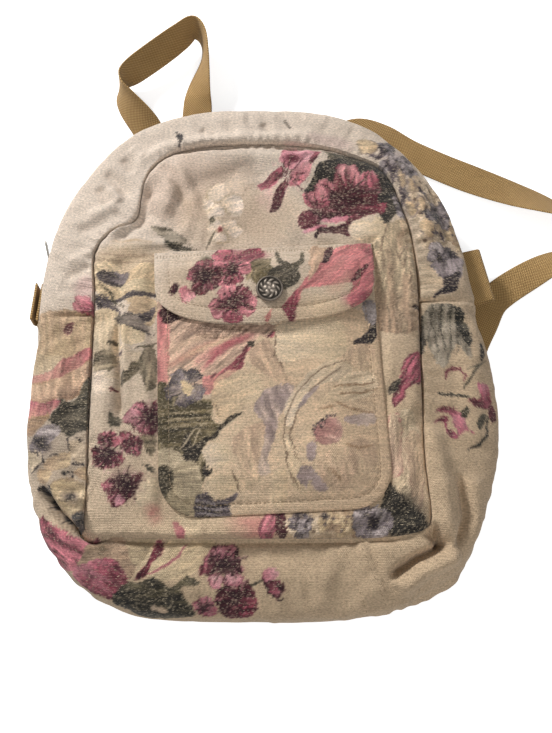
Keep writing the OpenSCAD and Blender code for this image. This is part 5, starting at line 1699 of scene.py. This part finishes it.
def seam_rolls(edge, along, height, seed):
    """Swelling beside a seam, drawn in by its stitches, at a distance from the edge and a place along it."""
    swell = height * ease(edge / 2.2) * np.exp(-((edge / np.where(height > 0.0, 9.5, 5.0)) ** 2))
    draw = np.sin(2.0 * math.pi * along / 8.5 + 2.2 * cloudy(along / 23.0, 0.0 * along, seed))
    pucker = 0.55 * draw * ease(edge / 2.0) * np.exp(-((edge / 9.0) ** 2))
    return swell + pucker * (0.6 + 0.7 * cloudy(along / 41.0, 0.0 * along + 3.0, seed + 1))


def raised(net, height):
    """A net moved out along its own directions by a height at each point."""
    return net + surface_normals(net) * height[..., None]


def hump(reach, at, spread):
    """A soft hump at a distance from an edge."""
    return np.exp(-(((reach - at) / spread) ** 2))


def under_pocket(x, y):
    """Share, from 0 to 1, by which points of the panel lie under the pocket or the flap."""
    dx, dy = x - POCKET_AT[0], y - POCKET_AT[1]
    c, s = math.cos(POCKET_TILT), math.sin(POCKET_TILT)
    px, py = dx * c + dy * s, dy * c - dx * s
    inside = np.minimum(POCKET_W / 2.0 + 6.0 - np.abs(px), np.minimum(py + POCKET_DROP + 4.0, 44.0 - py))
    return ease(inside / 9.0 + 0.3)


@lru_cache(maxsize=None)
def front_net():
    """Front panel: its smooth net, its outer net with folds, and the plan of the print on it."""
    x, y, k = square_to_panel(*FRONT_NET, front_r)
    net = np.stack([x, y, panel_z(x, y)], axis=2)
    a = np.degrees(np.arctan2(y, x))
    edge = (1.0 - k) * front_r(a)
    height = folded(x, y, FOLDS["front"]) + uneven(x, y, 3) * ease(edge / 10.0)
    height = height + 1.1 * settled(net, 0.05, 60.0)
    height = height * ease(edge / 4.0) * (1.0 - under_pocket(x, y))
    return net, raised(net, height + seam_rolls(edge, np.radians(a) * 140.0, 2.2, 8)), x, y


def back_net():
    """Back panel, its outer face down on the floor."""
    x, y, k = (part[:, ::-1] for part in square_to_panel(*BACK_NET, back_r))
    rise = 0.25 + 0.22 * mottled(x, y, 40.0, 21, 2) + 0.9 * ease((k - 0.97) / 0.03)
    net = np.stack([x, y, rise], axis=2)
    return net, net, x, y


def gusset_net(a, rows, kind):
    """One gusset piece at some angles: its smooth net, its unrolled print plan, and lengths on it."""
    radius, height = section(a, kind)
    steps = np.hypot(np.diff(radius, axis=1), np.diff(height, axis=1))
    run = np.concatenate([np.zeros((len(a), 1)), np.cumsum(steps, axis=1)], axis=1)
    t = np.linspace(0.0, 1.0, rows)
    r = np.stack([np.interp(t * run[k, -1], run[k], radius[k]) for k in range(len(a))], axis=1)
    z = np.stack([np.interp(t * run[k, -1], run[k], height[k]) for k in range(len(a))], axis=1)
    length = t[:, None] * run[None, :, -1]
    ca, sa = np.cos(np.radians(a))[None, :], np.sin(np.radians(a))[None, :]
    net = np.stack([r * ca, r * sa, z], axis=2)
    before = 0.0
    if kind == "rear":
        front = section(a, "front")
        tape = TAPE_TOP - TAPE_BOTTOM
        before = tape + np.hypot(np.diff(front[0], axis=1), np.diff(front[1], axis=1)).sum(axis=1)[None, :]
    q = front_r(a)[None, :] + before + length
    return net, q * ca, q * sa, length, run[:, -1][None, :], np.radians(a)[None, :] * 170.0


@lru_cache(maxsize=None)
def gusset_cloth(first, last, columns, rows, kind, seed):
    """A gusset net with its folds, its seam rolls and its quiet ends."""
    a = np.linspace(first, last, columns)
    net, x, y, length, whole, along = gusset_net(a, rows, kind)
    to_end = np.minimum(np.arange(columns), np.arange(columns)[::-1])[None, :]
    to_end = to_end * abs(first - last) / columns * 3.0
    quiet = ease(length / 4.0) * ease((whole - length) / 5.0) * ease(to_end / 4.0)
    lift = (folded(x, y, FOLDS["gusset"]) + 1.3 * uneven(x, y, seed)) * quiet
    if kind != "rear":
        lift = lift + 1.1 * settled(net, 0.045, 50.0) * quiet * ease((net[..., 2] - 10.0) / 10.0)
        # The gusset rolls up to the panel at the sides and the top, and drops away under its lower edge
        under = ease((a - 228.0) / 14.0) * ease((312.0 - a) / 14.0)
        rolls = seam_rolls(length, along + 0.0 * length, mix(4.6, -3.8, under)[None, :], seed + 5)
        lift = lift + rolls * ease(to_end / 3.0)
        lift = lift + 0.8 * seam_rolls(to_end + 0.0 * length, length, 1.6, seed + 9) * quiet
    return net, raised(net, lift), x, y, length


def edge_reach(x, y):
    """Distance of the points of a net from its rim, in plan."""
    rim_x, rim_y = (np.concatenate([p[0], p[:, -1], p[-1, ::-1], p[::-1, 0]]) for p in (x, y))
    flat_x, flat_y = x.ravel(), y.ravel()
    best = np.empty(len(flat_x))
    # In slices, so that the distances don't fill the memory
    for k in range(0, len(flat_x), 4000):
        dx = flat_x[k : k + 4000, None] - rim_x[None, :]
        dy = flat_y[k : k + 4000, None] - rim_y[None, :]
        best[k : k + 4000] = np.sqrt((dx * dx + dy * dy).min(axis=1))
    return best.reshape(x.shape)


def pocket_rows():
    """Heights of the pocket's rows, close together round its lower corners."""
    turn = np.linspace(math.pi / 2.0, 0.0, 44)
    lower = -POCKET_DROP + POCKET_CORNER * (1.0 - np.sin(turn))
    upper = np.linspace(POCKET_CORNER - POCKET_DROP, POCKET_MOUTH, 171)
    return np.concatenate([lower, upper[1:]])


def flap_rows():
    """Heights of the flap's rows, close together round its lower edge."""
    turn = np.linspace(math.radians(88.5), 0.0, 60)
    lower = FLAP_SHOULDER - (FLAP_SHOULDER + FLAP_DROP) * np.sin(turn) ** (2.0 / FLAP_POWER)
    upper = np.linspace(FLAP_SHOULDER, FLAP_RISE, 35)
    return np.concatenate([lower, upper[1:]])


def rolled_edge(edge, drop, reach):
    """The turned edge of a hem, round from its face down to its rim."""
    return -drop * (1.0 - np.sqrt(1.0 - (1.0 - np.minimum(edge / reach, 1.0)) ** 2))


@lru_cache(maxsize=None)
def pocket_net():
    """Patch pocket: a puffed sheet with a turned and stitched edge."""
    rows = pocket_rows()
    x = np.linspace(-1.0, 1.0, POCKET_COLUMNS)[None, :] * pocket_half(rows)[:, None]
    y = rows[:, None] + 0.0 * x
    wx, wy = on_panel(x, y)
    edge = edge_reach(x, y)
    lift = LAY_GAP + pocket_room(x, y) * (0.4 + 0.6 * ease((edge - 4.0) / 26.0)) + POCKET_T
    stitch = -0.5 * hump(edge, POCKET_STITCH, 1.5) * ease((POCKET_MOUTH - y - 3.0) / 3.0)
    welt = 0.2 * hump(edge, 4.0, 2.4)
    soft = (uneven(wx, wy, 31) + folded(wx, wy, FOLDS["pocket"])) * ease((edge - 6.0) / 9.0)
    along = np.degrees(np.arctan2(y + 70.0, x)) * 1.6
    draw = 0.22 * np.sin(2.0 * math.pi * along / 6.5) * hump(edge, POCKET_STITCH, 4.0)
    height = panel_z(wx, wy) + lift
    base = np.stack([wx, wy, height], axis=2)
    net = np.stack([wx, wy, height + stitch + welt + rolled_edge(edge, 0.7, 1.4) + soft + draw], axis=2)
    return base, net, wx, wy


@lru_cache(maxsize=None)
def flap_net():
    """Pocket flap: a folded sheet with a stitched edge, sewn down along its top."""
    rows = flap_rows()
    x = np.linspace(-1.0, 1.0, FLAP_COLUMNS)[None, :] * flap_half(rows)[:, None]
    y = rows[:, None] + 0.0 * x
    wx, wy = on_panel(x, y)
    edge = edge_reach(x, y)
    top = FLAP_RISE - y
    stitch = -0.7 * hump(edge, FLAP_STITCH, 1.5) * ease((top - 4.0) / 4.0)
    welt = 0.5 * hump(edge, 5.0, 3.0) * ease((top - 4.0) / 4.0)
    gather = np.sin(2.0 * math.pi * x / 9.0 + 2.0 * cloudy(x / 30.0, 0.0 * x, 4))
    tucks = 0.35 * gather * hump(top, 0.0, 9.0) * ease(edge / 3.0)
    soft = 0.6 * uneven(wx, wy, 51) * ease((edge - 4.0) / 9.0)
    pressed = -0.9 * np.exp(-((np.hypot(x - SNAP_X, y) / 12.5) ** 6))
    height = panel_z(wx, wy) + flap_lift(x, y) + FLAP_T
    base = np.stack([wx, wy, height], axis=2)
    relief = stitch + welt + rolled_edge(edge, 0.8, 1.6) + tucks + soft + pressed
    return base, np.stack([wx, wy, height + relief], axis=2), wx, wy


def strap_path(stations, steps):
    """A smooth path through stations of [x, y, z, roll], straight in its first and last spans."""
    p = np.array(stations, float)
    path = [mix(p[0], p[1], s / steps) for s in range(steps)]
    for i in range(1, len(p) - 2):
        path += [spline(*p[i - 1 : i + 3], s / steps) for s in range(steps)]
    path += [mix(p[-2], p[-1], s / steps) for s in range(steps + 1)]
    return np.array(path)


def polar(r, a):
    """A plan point at a radius and an angle."""
    return float(r) * np.array(heading(a))


def sewn(a, roll):
    """A strap's end against the back panel's edge."""
    return [*polar(back_r(a) + LAY_GAP, a), 1.0, roll]


def tucked(a, share, roll):
    """A place of a strap under the gusset's overhang."""
    return [*polar(mix(back_r(a), side_r(a), share), a), 1.0, roll]


def beside(a, moved, z, roll):
    """A place of a strap beside the bag."""
    return [*(polar(side_r(a), a) + np.array(moved)), z, roll]


def directions(path):
    """Directions of a path of points, each of length one."""
    ahead = np.gradient(path, axis=0)
    return ahead / np.linalg.norm(ahead, axis=1, keepdims=True)


def strap_frames(path, width, thick):
    """Centres and directions of a flat strap along a path, held off the floor."""
    ahead = directions(path[:, :3])
    side = np.cross(ahead, [0.0, 0.0, 1.0])
    side /= np.linalg.norm(side, axis=1, keepdims=True)
    roll = np.radians(path[:, 3:4])
    wide = side * np.cos(roll) + np.cross(side, ahead) * np.sin(roll)
    flat = np.cross(ahead, wide)
    centre = path[:, :3].copy()
    least = np.abs(wide[:, 2]) * width / 2.0 + np.abs(flat[:, 2]) * thick / 2.0 + 0.2
    centre[:, 2] = np.maximum(centre[:, 2], least)
    return centre, wide, flat


def measure(name, description, metres):
    """A length property."""
    return bpy.props.FloatProperty(name=name, description=description, default=metres, unit="LENGTH")


def colour(name, description, code):
    """A colour property from six hex digits."""
    start = tuple(float(v) for v in linear(shade(code)))
    return bpy.props.FloatVectorProperty(name=name, description=description, subtype="COLOR", size=3,
                                         min=0.0, max=1.0, default=start)


class BackpackSizes(bpy.types.PropertyGroup):
    """Sizes of the sewn pieces that a user may change."""

    cloth_wall: measure("Cloth", "Thickness of the tapestry cloth with its lining", 0.0015)
    webbing_width: measure("Webbing width", "Width of the shoulder straps", 0.025)
    webbing_thickness: measure("Webbing thickness", "Thickness of the webbing", 0.0016)
    tooth_pitch: measure("Tooth pitch", "Distance from zip tooth to zip tooth", 0.0032)
    stitch_pitch: measure("Stitch pitch", "Distance from stitch to stitch", 0.0031)
    stitch_width: measure("Thread", "Thickness of the sewing thread", 0.00055)


class BackpackColours(bpy.types.PropertyGroup):
    """Colours of the cloth, webbing and metal that a user may change."""

    # The print's ground runs from the pale colour to the tan one: partly its own ground, partly painted light
    # at the upper left and painted shade at the lower right
    ground_pale: colour("Pale ground", "Ground of the print at the upper left", "cfbfaf")
    ground_tan: colour("Tan ground", "Ground of the print at the lower right", "bca487")
    webbing: colour("Webbing", "Raised threads of the webbing", "c3a068")
    webbing_dark: colour("Webbing shade", "Gaps between the webbing's threads", "7d5c30")
    zip_tape: colour("Zip tape", "Threads of the zip tape", "3a3836")
    nickel: colour("Nickel", "Bright parts of the zip's metal", "9b958c")
    nickel_dark: colour("Dark nickel", "Dull parts of the zip's metal", "5b564f")
    silver: colour("Old silver", "Rubbed ridges of the button", "9a8e82")
    silver_dark: colour("Old silver shade", "Hollows of the button", "2b2722")
    fleck: colour("Fleck", "Pale threads that show in the dark parts of the print", PALE_THREAD)
    thread: colour("Thread", "Sewing thread in the light", "a08868")
    thread_dark: colour("Thread shade", "Sewing thread in its turns", "75604a")


def add_floor():
    """The white floor, which glows a little where it is seen."""
    bm = bmesh.new()
    bmesh.ops.create_grid(bm, x_segments=8, y_segments=8, size=6.0)
    mesh = meshed(bm, "studio_floor", False)
    placed("studio_floor", mesh)
    f = Finish("studio_white", Roughness=0.9, Base_Color=FLOOR_GREY, Specular_IOR_Level=0.0)
    glow = f.node("ShaderNodeEmission", None, {0: WHITE, 1: f.seen() * FLOOR_GLOW})
    both = f.node("ShaderNodeAddShader", None, {0: Wire(f, f.shader.outputs[0]), 1: glow})
    f.tree.links.new(both.out, f.tree.nodes["Material Output"].inputs["Surface"])
    mesh.materials.append(f.material)


def add_light(scene):
    """Even light all round that looks white where it is seen, and the lamps."""
    scene.world = bpy.data.worlds.new("studio")
    scene.world.use_nodes = True
    sky = Nodes(scene.world.node_tree)
    level = WORLD_LIGHT + (1.0 - WORLD_LIGHT) * sky.seen()
    background = sky.tree.nodes["Background"]
    background.inputs["Color"].default_value = WHITE
    sky.tree.links.new(level.out, background.inputs["Strength"])
    for name, place, size, power in LAMPS:
        data = bpy.data.lights.new(name, "AREA")
        data.shape = "DISK"
        data.size = size
        data.energy = power
        lamp = placed(name, data)
        lamp.location = place
        lamp.rotation_euler = (-Vector(place)).to_track_quat("-Z", "Y").to_euler()


def add_camera(scene):
    """The camera, high over the lower edge of the bag."""
    data = bpy.data.cameras.new("camera")
    data.sensor_fit = "VERTICAL"
    data.sensor_height = SENSOR
    data.lens = SENSOR * VIEW_DISTANCE / (VIEW_HEIGHT * VIEW_SCALE)
    data.clip_start = 0.01
    camera = placed("camera", data)
    tilt = math.radians(90.0 - VIEW_ELEVATION)
    back = Vector((0.0, -math.sin(tilt), math.cos(tilt)))
    camera.location = (Vector(VIEW_TARGET) + back * VIEW_DISTANCE) * MM
    camera.rotation_euler = (tilt, 0.0, 0.0)
    scene.camera = camera


class BACKPACK_OT_stage(bpy.types.Operator):
    """Adds the floor, the soft light and the camera"""

    bl_idname = "backpack.stage"
    bl_label = "Stage"

    def execute(self, context):
        context.scene.view_settings.view_transform = "Standard"
        add_floor()
        add_light(context.scene)
        add_camera(context.scene)
        return {"FINISHED"}


class BACKPACK_OT_front_panel(bpy.types.Operator):
    """Adds the front panel's cloth"""

    bl_idname = "backpack.front_panel"
    bl_label = "Front Panel"

    def execute(self, context):
        base, net, x, y = front_net()
        piece = cloth("front_panel_cloth", "front_panel", base, net, x, y, painted("front", x, y, 1))
        area_of(net)
        return {"FINISHED"}


class BACKPACK_OT_back_panel(bpy.types.Operator):
    """Adds the back panel's cloth"""

    bl_idname = "backpack.back_panel"
    bl_label = "Back Panel"

    def execute(self, context):
        base, net, x, y = back_net()
        picture = painted("front", -x, -y - 25.0, 6, PRINT["front"] + PRINT["pocket"])
        piece = cloth("back_panel_cloth", "back_panel", base, net, x, y, picture)
        area_of(net)
        return {"FINISHED"}


class BACKPACK_OT_gussets(bpy.types.Operator):
    """Adds the gusset strips in front of and behind the zip, and the two lower gussets"""

    bl_idname = "backpack.gussets"
    bl_label = "Gussets"

    def execute(self, context):
        for name, *values, size in GUSSETS:
            base, net, x, y, length = gusset_cloth(*values)
            picture = painted("gusset", x, y, 4)
            again = painted("pocket", 0.9 * y + 20.0, -0.9 * x - 60.0, 14, PRINT["pocket"] + PRINT["front"])
            picture = mix(picture, again, underside(net, length, values[4]).reshape(-1, 1))
            piece = cloth(name + "_cloth", name, base, net, x, y, picture)
            area_of(net)
        return {"FINISHED"}


def underside(net, length, kind):
    """Share, from 0 to 1, by which points of a gusset lie past its widest line, out of sight."""
    if kind == "rear":
        return np.ones(length.shape)
    if kind == "front":
        return np.zeros(length.shape)
    lowest = np.argmax(np.hypot(net[..., 0], net[..., 1]), axis=0)
    widest = length[lowest, np.arange(length.shape[1])][None, :]
    return ease((length - widest - 4.0) / 8.0)


class BACKPACK_OT_pocket(bpy.types.Operator):
    """Adds the patch pocket's cloth"""

    bl_idname = "backpack.pocket"
    bl_label = "Pocket"

    def execute(self, context):
        base, net, x, y = pocket_net()
        piece = cloth("pocket_cloth", "pocket_panel", base, net, x, y, painted("pocket", x, y, 2))
        area_of(net)
        return {"FINISHED"}


class BACKPACK_OT_flap(bpy.types.Operator):
    """Adds the pocket flap's cloth"""

    bl_idname = "backpack.flap"
    bl_label = "Flap"

    def execute(self, context):
        base, net, x, y = flap_net()
        piece = cloth("flap_cloth", "pocket_flap", base, net, x, y, painted("flap", x, y, 3))
        area_of(net)
        return {"FINISHED"}


def stitched(bm, net, path, pitch, length, width, crosswise=False):
    """Sews stitches on a net along a path of its plan, each a small rounded length of thread."""
    out = surface_normals(net).reshape(-1, 3)
    flat = net.reshape(-1, 3)
    run = run_of(path)
    for at in np.arange(pitch / 2.0, run[-1], pitch):
        here = np.array([np.interp(at, run, path[:, k]) for k in (0, 1)])
        dx, dy = np.array([np.interp(at + 0.4, run, path[:, k]) for k in (0, 1)]) - here
        near = int(np.argmin((flat[:, 0] - here[0]) ** 2 + (flat[:, 1] - here[1]) ** 2))
        up = Vector(out[near])
        way = Vector((-dy, dx, 0.0)) if crosswise else Vector((dx, dy, 0.0))
        way = (way - up * way.dot(up)).normalized()
        side = up.cross(way)
        turn = Matrix((way * length / 2.0, side * width / 2.0, up * width * 0.42)).transposed().to_4x4()
        place = Matrix.Translation(Vector(flat[near]) + up * 0.12 * width)
        matrix = Matrix.Scale(MM, 4) @ place @ turn @ Matrix.Rotation(math.pi / 2.0, 4, "Y")
        bmesh.ops.create_uvsphere(bm, u_segments=6, v_segments=5, radius=1.0, matrix=matrix)


def hem_line(net, reach):
    """A line that keeps a distance inside the sides and the lower edge of a net."""
    loop = np.concatenate([net[::-1, 0], net[0, 1:], net[1:, -1]])[5:-5:4, :2]
    ahead = directions(loop)
    return loop + reach * np.stack([-ahead[:, 1], ahead[:, 0]], axis=1)


class BACKPACK_OT_stitching(bpy.types.Operator):
    """Sews the rows of stitches on the flap, the pocket and the lower gusset"""

    bl_idname = "backpack.stitching"
    bl_label = "Stitching"

    def execute(self, context):
        sizes = context.scene.backpack_sizes
        pitch, width = sizes.stitch_pitch / MM, sizes.stitch_width / MM
        flap, pocket, lower = flap_net()[1], pocket_net()[1], gusset_cloth(*LOWER_LEFT[1:7])[1]
        bm = bmesh.new()
        stitched(bm, flap, hem_line(flap, FLAP_STITCH)[4:-4], pitch, 0.72 * pitch, width)
        stitched(bm, flap, flap[-6, 2:-2, :2], 2.3, 2.9, 0.8 * width, True)
        stitched(bm, pocket, hem_line(pocket, POCKET_STITCH), pitch, 0.72 * pitch, width)
        for column in (5, 16):
            stitched(bm, lower, lower[6:70, column, :2], pitch, 0.72 * pitch, width)
        show("stitching", meshed(bm, "stitching"), "thread", "tapestry")
        return {"FINISHED"}


def left_strap():
    """Stations of the left strap, from the top of the bag round to its lower left corner."""
    loop = [(-1, 22, 5, 14), (0, 38, 9, 35), (5, 67, 15, 74), (3, 84, 17, 80), (-5, 92, 17, 72),
            (-16, 83, 17, 58), (-32, 70, 16, 50), (-52, 54, 15, 56), (-62, 45, 14.5, 78),
            (-64, 36, 14.5, 105), (-58, 24, 12, 130), (-41, 2, 5.4, 164), (-39, -15, 2, 178)]
    under = [(126, 0.62), (138, 0.55), (155, 0.55), (172, 0.58), (190, 0.58), (206, 0.58), (214, 0.46)]
    stations = [sewn(107, 0), tucked(107, 0.8, 0)]
    stations += [beside(106, (dx, dy), z, roll) for dx, dy, z, roll in loop]
    stations += [tucked(a, share, 180) for a, share in under]
    return stations + [sewn(223, 180)]


def right_strap():
    """Stations of the right strap, from the top of the bag out to its loop and to the lower right corner."""
    loop = [(-19, 23, 2.4, 0), (2, 18, 3, 0), (24, 4, 3, 0), (50, -9, 3, 0), (75, -20, 3, 0),
            (106, -33, 4.5, 14), (134, -46, 9.4, 36), (166, -62, 13.6, 70), (185, -74, 14.2, 88),
            (176, -86, 14.2, 104), (157, -88, 12.8, 120), (135, -95, 7.8, 152), (115, -105, 4, 172),
            (95, -118, 3, 180), (85, -128, 3, 180), (78, -143, 2.5, 180)]
    under = [(-6, 0.84), (-20, 0.62), (-31, 0.58), (-38, 0.46)]
    stations = [sewn(70, 0), tucked(70, 0.75, 0)]
    stations += [beside(57, (dx, dy), z, roll) for dx, dy, z, roll in loop]
    stations += [tucked(a, share, 180) for a, share in under]
    return stations + [sewn(-46, 180)]


class BACKPACK_OT_straps(bpy.types.Operator):
    """Adds the two webbing shoulder straps"""

    bl_idname = "backpack.straps"
    bl_label = "Shoulder Straps"

    def execute(self, context):
        sizes = context.scene.backpack_sizes
        width, thick = sizes.webbing_width / MM, sizes.webbing_thickness / MM
        straps = {"shoulder_strap_left": left_strap(), "shoulder_strap_right": right_strap()}
        for name, stations in straps.items():
            centre, wide, flat = strap_frames(strap_path(stations, 14), width, thick)
            edges = band_section(width, thick, 13)
            piece = band(name + "_webbing", name, "webbing", centre, wide, flat, edges)
        return {"FINISHED"}


def zip_tape(name, z):
    """One woven tape along the arch, upright at a height."""
    a = np.radians(np.linspace(ZIP_RIGHT, ZIP_LEFT, 260))
    out = np.stack([np.cos(a), np.sin(a), 0.0 * a], axis=1)
    up = np.tile([0.0, 0.0, 1.0], (len(a), 1))
    band(name + "_weave", name, "zip_tape", out * ZIP_R + up * z, up, out, band_section(*TAPE_STRIP, 7))


def zip_turn(bm, verts, degrees):
    """Turns points along the arch."""
    turn = Matrix.Rotation(math.radians(degrees), 3, "Z")
    bmesh.ops.rotate(bm, cent=(0.0, 0.0, 0.0), matrix=turn, verts=verts)


def to_arch(bm, verts, z):
    """Moves a shape in millimetres out to the arch at a height, and into metres."""
    bmesh.ops.translate(bm, vec=(ZIP_R, 0.0, z), verts=verts)
    bmesh.ops.scale(bm, vec=(MM, MM, MM), verts=verts)


def zip_chain(name, side, shift, pitch):
    """One row of teeth on its cord, above or below the zip's middle, moved along by a share of a step."""
    z = ZIP_Z + side * CHAIN_OFF
    step = math.degrees(pitch / ZIP_R)
    bm = bmesh.new()
    tooth = bmesh.ops.create_cube(bm, size=1.0)["verts"]
    bmesh.ops.scale(bm, vec=TOOTH, verts=tooth)
    bmesh.ops.scale(bm, vec=(1.0, TOOTH_TIP, 1.0), verts=[v for v in tooth if v.co.z * side < 0.0])
    bmesh.ops.bevel(bm, geom=bm.edges[:], offset=TOOTH_BEVEL, affect="EDGES", segments=1, profile=0.5,
                    material=-1)
    one = bm.verts[:]
    to_arch(bm, one, z)
    shapes = bm.faces[:] + bm.edges[:] + one
    for k in range(int((ZIP_LEFT - ZIP_RIGHT) / step - 0.5)):
        again = bmesh.ops.duplicate(bm, geom=shapes)["geom"]
        verts = [g for g in again if isinstance(g, bmesh.types.BMVert)]
        zip_turn(bm, verts, ZIP_RIGHT + (k + 0.5 + shift) * step)
    bmesh.ops.delete(bm, geom=one, context="VERTS")
    # The cord that the teeth grip, spun along the arch
    cord = bmesh.ops.create_grid(bm, x_segments=1, y_segments=1, size=0.5)["verts"]
    bmesh.ops.scale(bm, vec=(*CORD, 1.0), verts=cord)
    bmesh.ops.rotate(bm, cent=(0.0, 0.0, 0.0), matrix=Matrix.Rotation(math.pi / 2.0, 3, "X"), verts=cord)
    to_arch(bm, cord, z + side * CORD_OFF)
    zip_turn(bm, cord, ZIP_RIGHT)
    shapes = cord[0].link_faces[:] + cord[0].link_faces[0].edges[:] + cord
    bmesh.ops.spin(bm, geom=shapes, cent=(0.0, 0.0, 0.0), axis=(0.0, 0.0, 1.0),
                   angle=math.radians(ZIP_LEFT - ZIP_RIGHT), steps=CORD_STEPS)
    bmesh.ops.recalc_face_normals(bm, faces=bm.faces)
    show(name + "_teeth", meshed(bm, name + "_teeth", False), "zip_chain", "zip_chain", name)


class BACKPACK_OT_zip(bpy.types.Operator):
    """Adds the zip's woven tapes and its two rows of teeth, and finishes its metal parts"""

    bl_idname = "backpack.zip"
    bl_label = "Zip"

    def execute(self, context):
        pitch = context.scene.backpack_sizes.tooth_pitch / MM
        zip_tape("zip_tape_front", ZIP_Z + TAPE_OFF)
        zip_tape("zip_tape_rear", ZIP_Z - TAPE_OFF)
        zip_chain("zip_chain_front", 1.0, 0.0, pitch)
        zip_chain("zip_chain_rear", -1.0, 0.5, pitch)
        refinish("zip_metal", "zip_slider", "zip_pull", "zip_stops")
        return {"FINISHED"}


class BACKPACK_OT_zip_tabs(bpy.types.Operator):
    """Adds the folded webbing tabs at the zip's two ends"""

    bl_idname = "backpack.zip_tabs"
    bl_label = "Zip Tabs"

    def execute(self, context):
        # A leg out, the bend and a leg back: how far along the legs, and how far to the side
        leg = np.linspace(0.0, TAB_LEG, 14)
        bend = np.radians(np.linspace(-90.0, 90.0, 13)[1:-1])
        away = np.concatenate([leg, TAB_LEG + TAB_BEND * np.cos(bend), leg[::-1]])[:, None]
        aside = np.concatenate([0.0 * leg - TAB_BEND, TAB_BEND * np.sin(bend), 0.0 * leg + TAB_BEND])[:, None]
        up = np.array([0.0, 0.0, 1.0])
        for name, first, last, upright in TABS:
            c, s = heading((first + last) / 2.0)
            width = math.radians(abs(first - last)) * TAB_R
            r, z = (TAB_R + aside, TAB_TOP - away) if upright else (TAB_INNER + away, ZIP_Z + aside)
            path = np.array([c, s, 0.0]) * r + up * z
            wide = np.tile([-s, c, 0.0], (len(path), 1))
            flat = np.cross(directions(path), wide)
            edges = band_section(width, TAB_THICK, 11)
            piece = band(name + "_webbing", name, "webbing", path, wide, flat, edges)
        return {"FINISHED"}


def button_height(r, t):
    """Height of the button's face at a radius and an angle: a rim, a ring of scrolls, a flower and a boss."""
    rim = 0.75 * hump(r, 9.1, 0.6)
    scrolls = 0.8 * (0.5 + 0.5 * np.cos(9.0 * t + 1.4 * (r - 6.4))) ** 1.4 * hump(r, 6.5, 1.25)
    flower = 0.85 * (0.5 + 0.5 * np.cos(5.0 * t - 0.6 * r)) ** 0.9 * hump(r, 3.2, 1.2)
    boss = 0.8 * np.exp(-(r**4))
    return 2.0 + 0.8 * (1.0 - (r / BUTTON_R) ** 2) + rim + scrolls + flower + boss


class BACKPACK_OT_button(bpy.types.Operator):
    """Adds the cast button on the flap and finishes the snap under it"""

    bl_idname = "backpack.button"
    bl_label = "Button"

    def execute(self, context):
        low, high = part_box("button_cap")
        foot = Vector(((low[0] + high[0]) / 2.0, (low[1] + high[1]) / 2.0, low[2]))
        t = np.linspace(0.0, 2.0 * math.pi, 145)
        face_r = np.linspace(0.0, 9.2, BUTTON_RINGS)
        r = np.concatenate([face_r, BUTTON_SIDE_R])
        face = button_height(face_r[:, None], t[None, :])
        side = np.array(BUTTON_SIDE_Z)[:, None] + 0.0 * t
        z = np.concatenate([face, side])
        worn = np.concatenate([clamp01((face - 2.55) / 0.9), 0.5 + 0.0 * side])
        bm = bmesh.new()
        bmesh.ops.create_grid(bm, x_segments=len(t) - 1, y_segments=len(r) - 1, size=1.0)
        layer = bm.verts.layers.float_color.new("worn")
        for k, v in enumerate(bm.verts):
            i, j = divmod(k, len(t))
            v.co = foot + Vector((r[i] * math.cos(t[j]), r[i] * math.sin(t[j]), z[i, j])) * MM
            v[layer] = (worn[i, j], worn[i, j], worn[i, j], 1.0)
        bmesh.ops.remove_doubles(bm, verts=bm.verts, dist=1e-6)
        bmesh.ops.recalc_face_normals(bm, faces=bm.faces)
        show("button_cast", meshed(bm, "button_cast"), "old_silver", "old_silver", "button_cap")
        refinish("zip_metal", "snap_socket", "snap_stud")
        return {"FINISHED"}


class BACKPACK_PT_pieces(bpy.types.Panel):
    """Lists the backpack's pieces and its sizes and colours"""

    bl_idname = "BACKPACK_PT_pieces"
    bl_label = "Backpack"
    bl_space_type = "VIEW_3D"
    bl_region_type = "UI"
    bl_category = "Backpack"

    def draw(self, context):
        for step in STEPS:
            self.layout.operator(step.bl_idname)
        for group in (context.scene.backpack_sizes, context.scene.backpack_colours):
            for name in group.__annotations__:
                self.layout.prop(group, name)


STEPS = (
    BACKPACK_OT_stage,
    BACKPACK_OT_front_panel,
    BACKPACK_OT_back_panel,
    BACKPACK_OT_gussets,
    BACKPACK_OT_pocket,
    BACKPACK_OT_flap,
    BACKPACK_OT_stitching,
    BACKPACK_OT_straps,
    BACKPACK_OT_zip,
    BACKPACK_OT_zip_tabs,
    BACKPACK_OT_button,
)
CLASSES = (BackpackSizes, BackpackColours, *STEPS, BACKPACK_PT_pieces)


def register():
    """Adds the classes and the two groups of properties."""
    for one in CLASSES:
        bpy.utils.register_class(one)
    bpy.types.Scene.backpack_sizes = bpy.props.PointerProperty(type=BackpackSizes)
    bpy.types.Scene.backpack_colours = bpy.props.PointerProperty(type=BackpackColours)


def unregister():
    """Takes the properties and the classes away again."""
    del bpy.types.Scene.backpack_colours
    del bpy.types.Scene.backpack_sizes
    for one in reversed(CLASSES):
        bpy.utils.unregister_class(one)


def main():
    """Builds every piece in order."""
    register()
    bpy.ops.backpack.stage()
    bpy.ops.backpack.front_panel()
    bpy.ops.backpack.back_panel()
    bpy.ops.backpack.gussets()
    bpy.ops.backpack.pocket()
    bpy.ops.backpack.flap()
    bpy.ops.backpack.stitching()
    bpy.ops.backpack.straps()
    bpy.ops.backpack.zip()
    bpy.ops.backpack.zip_tabs()
    bpy.ops.backpack.button()


if __name__ == "__main__":
    main()
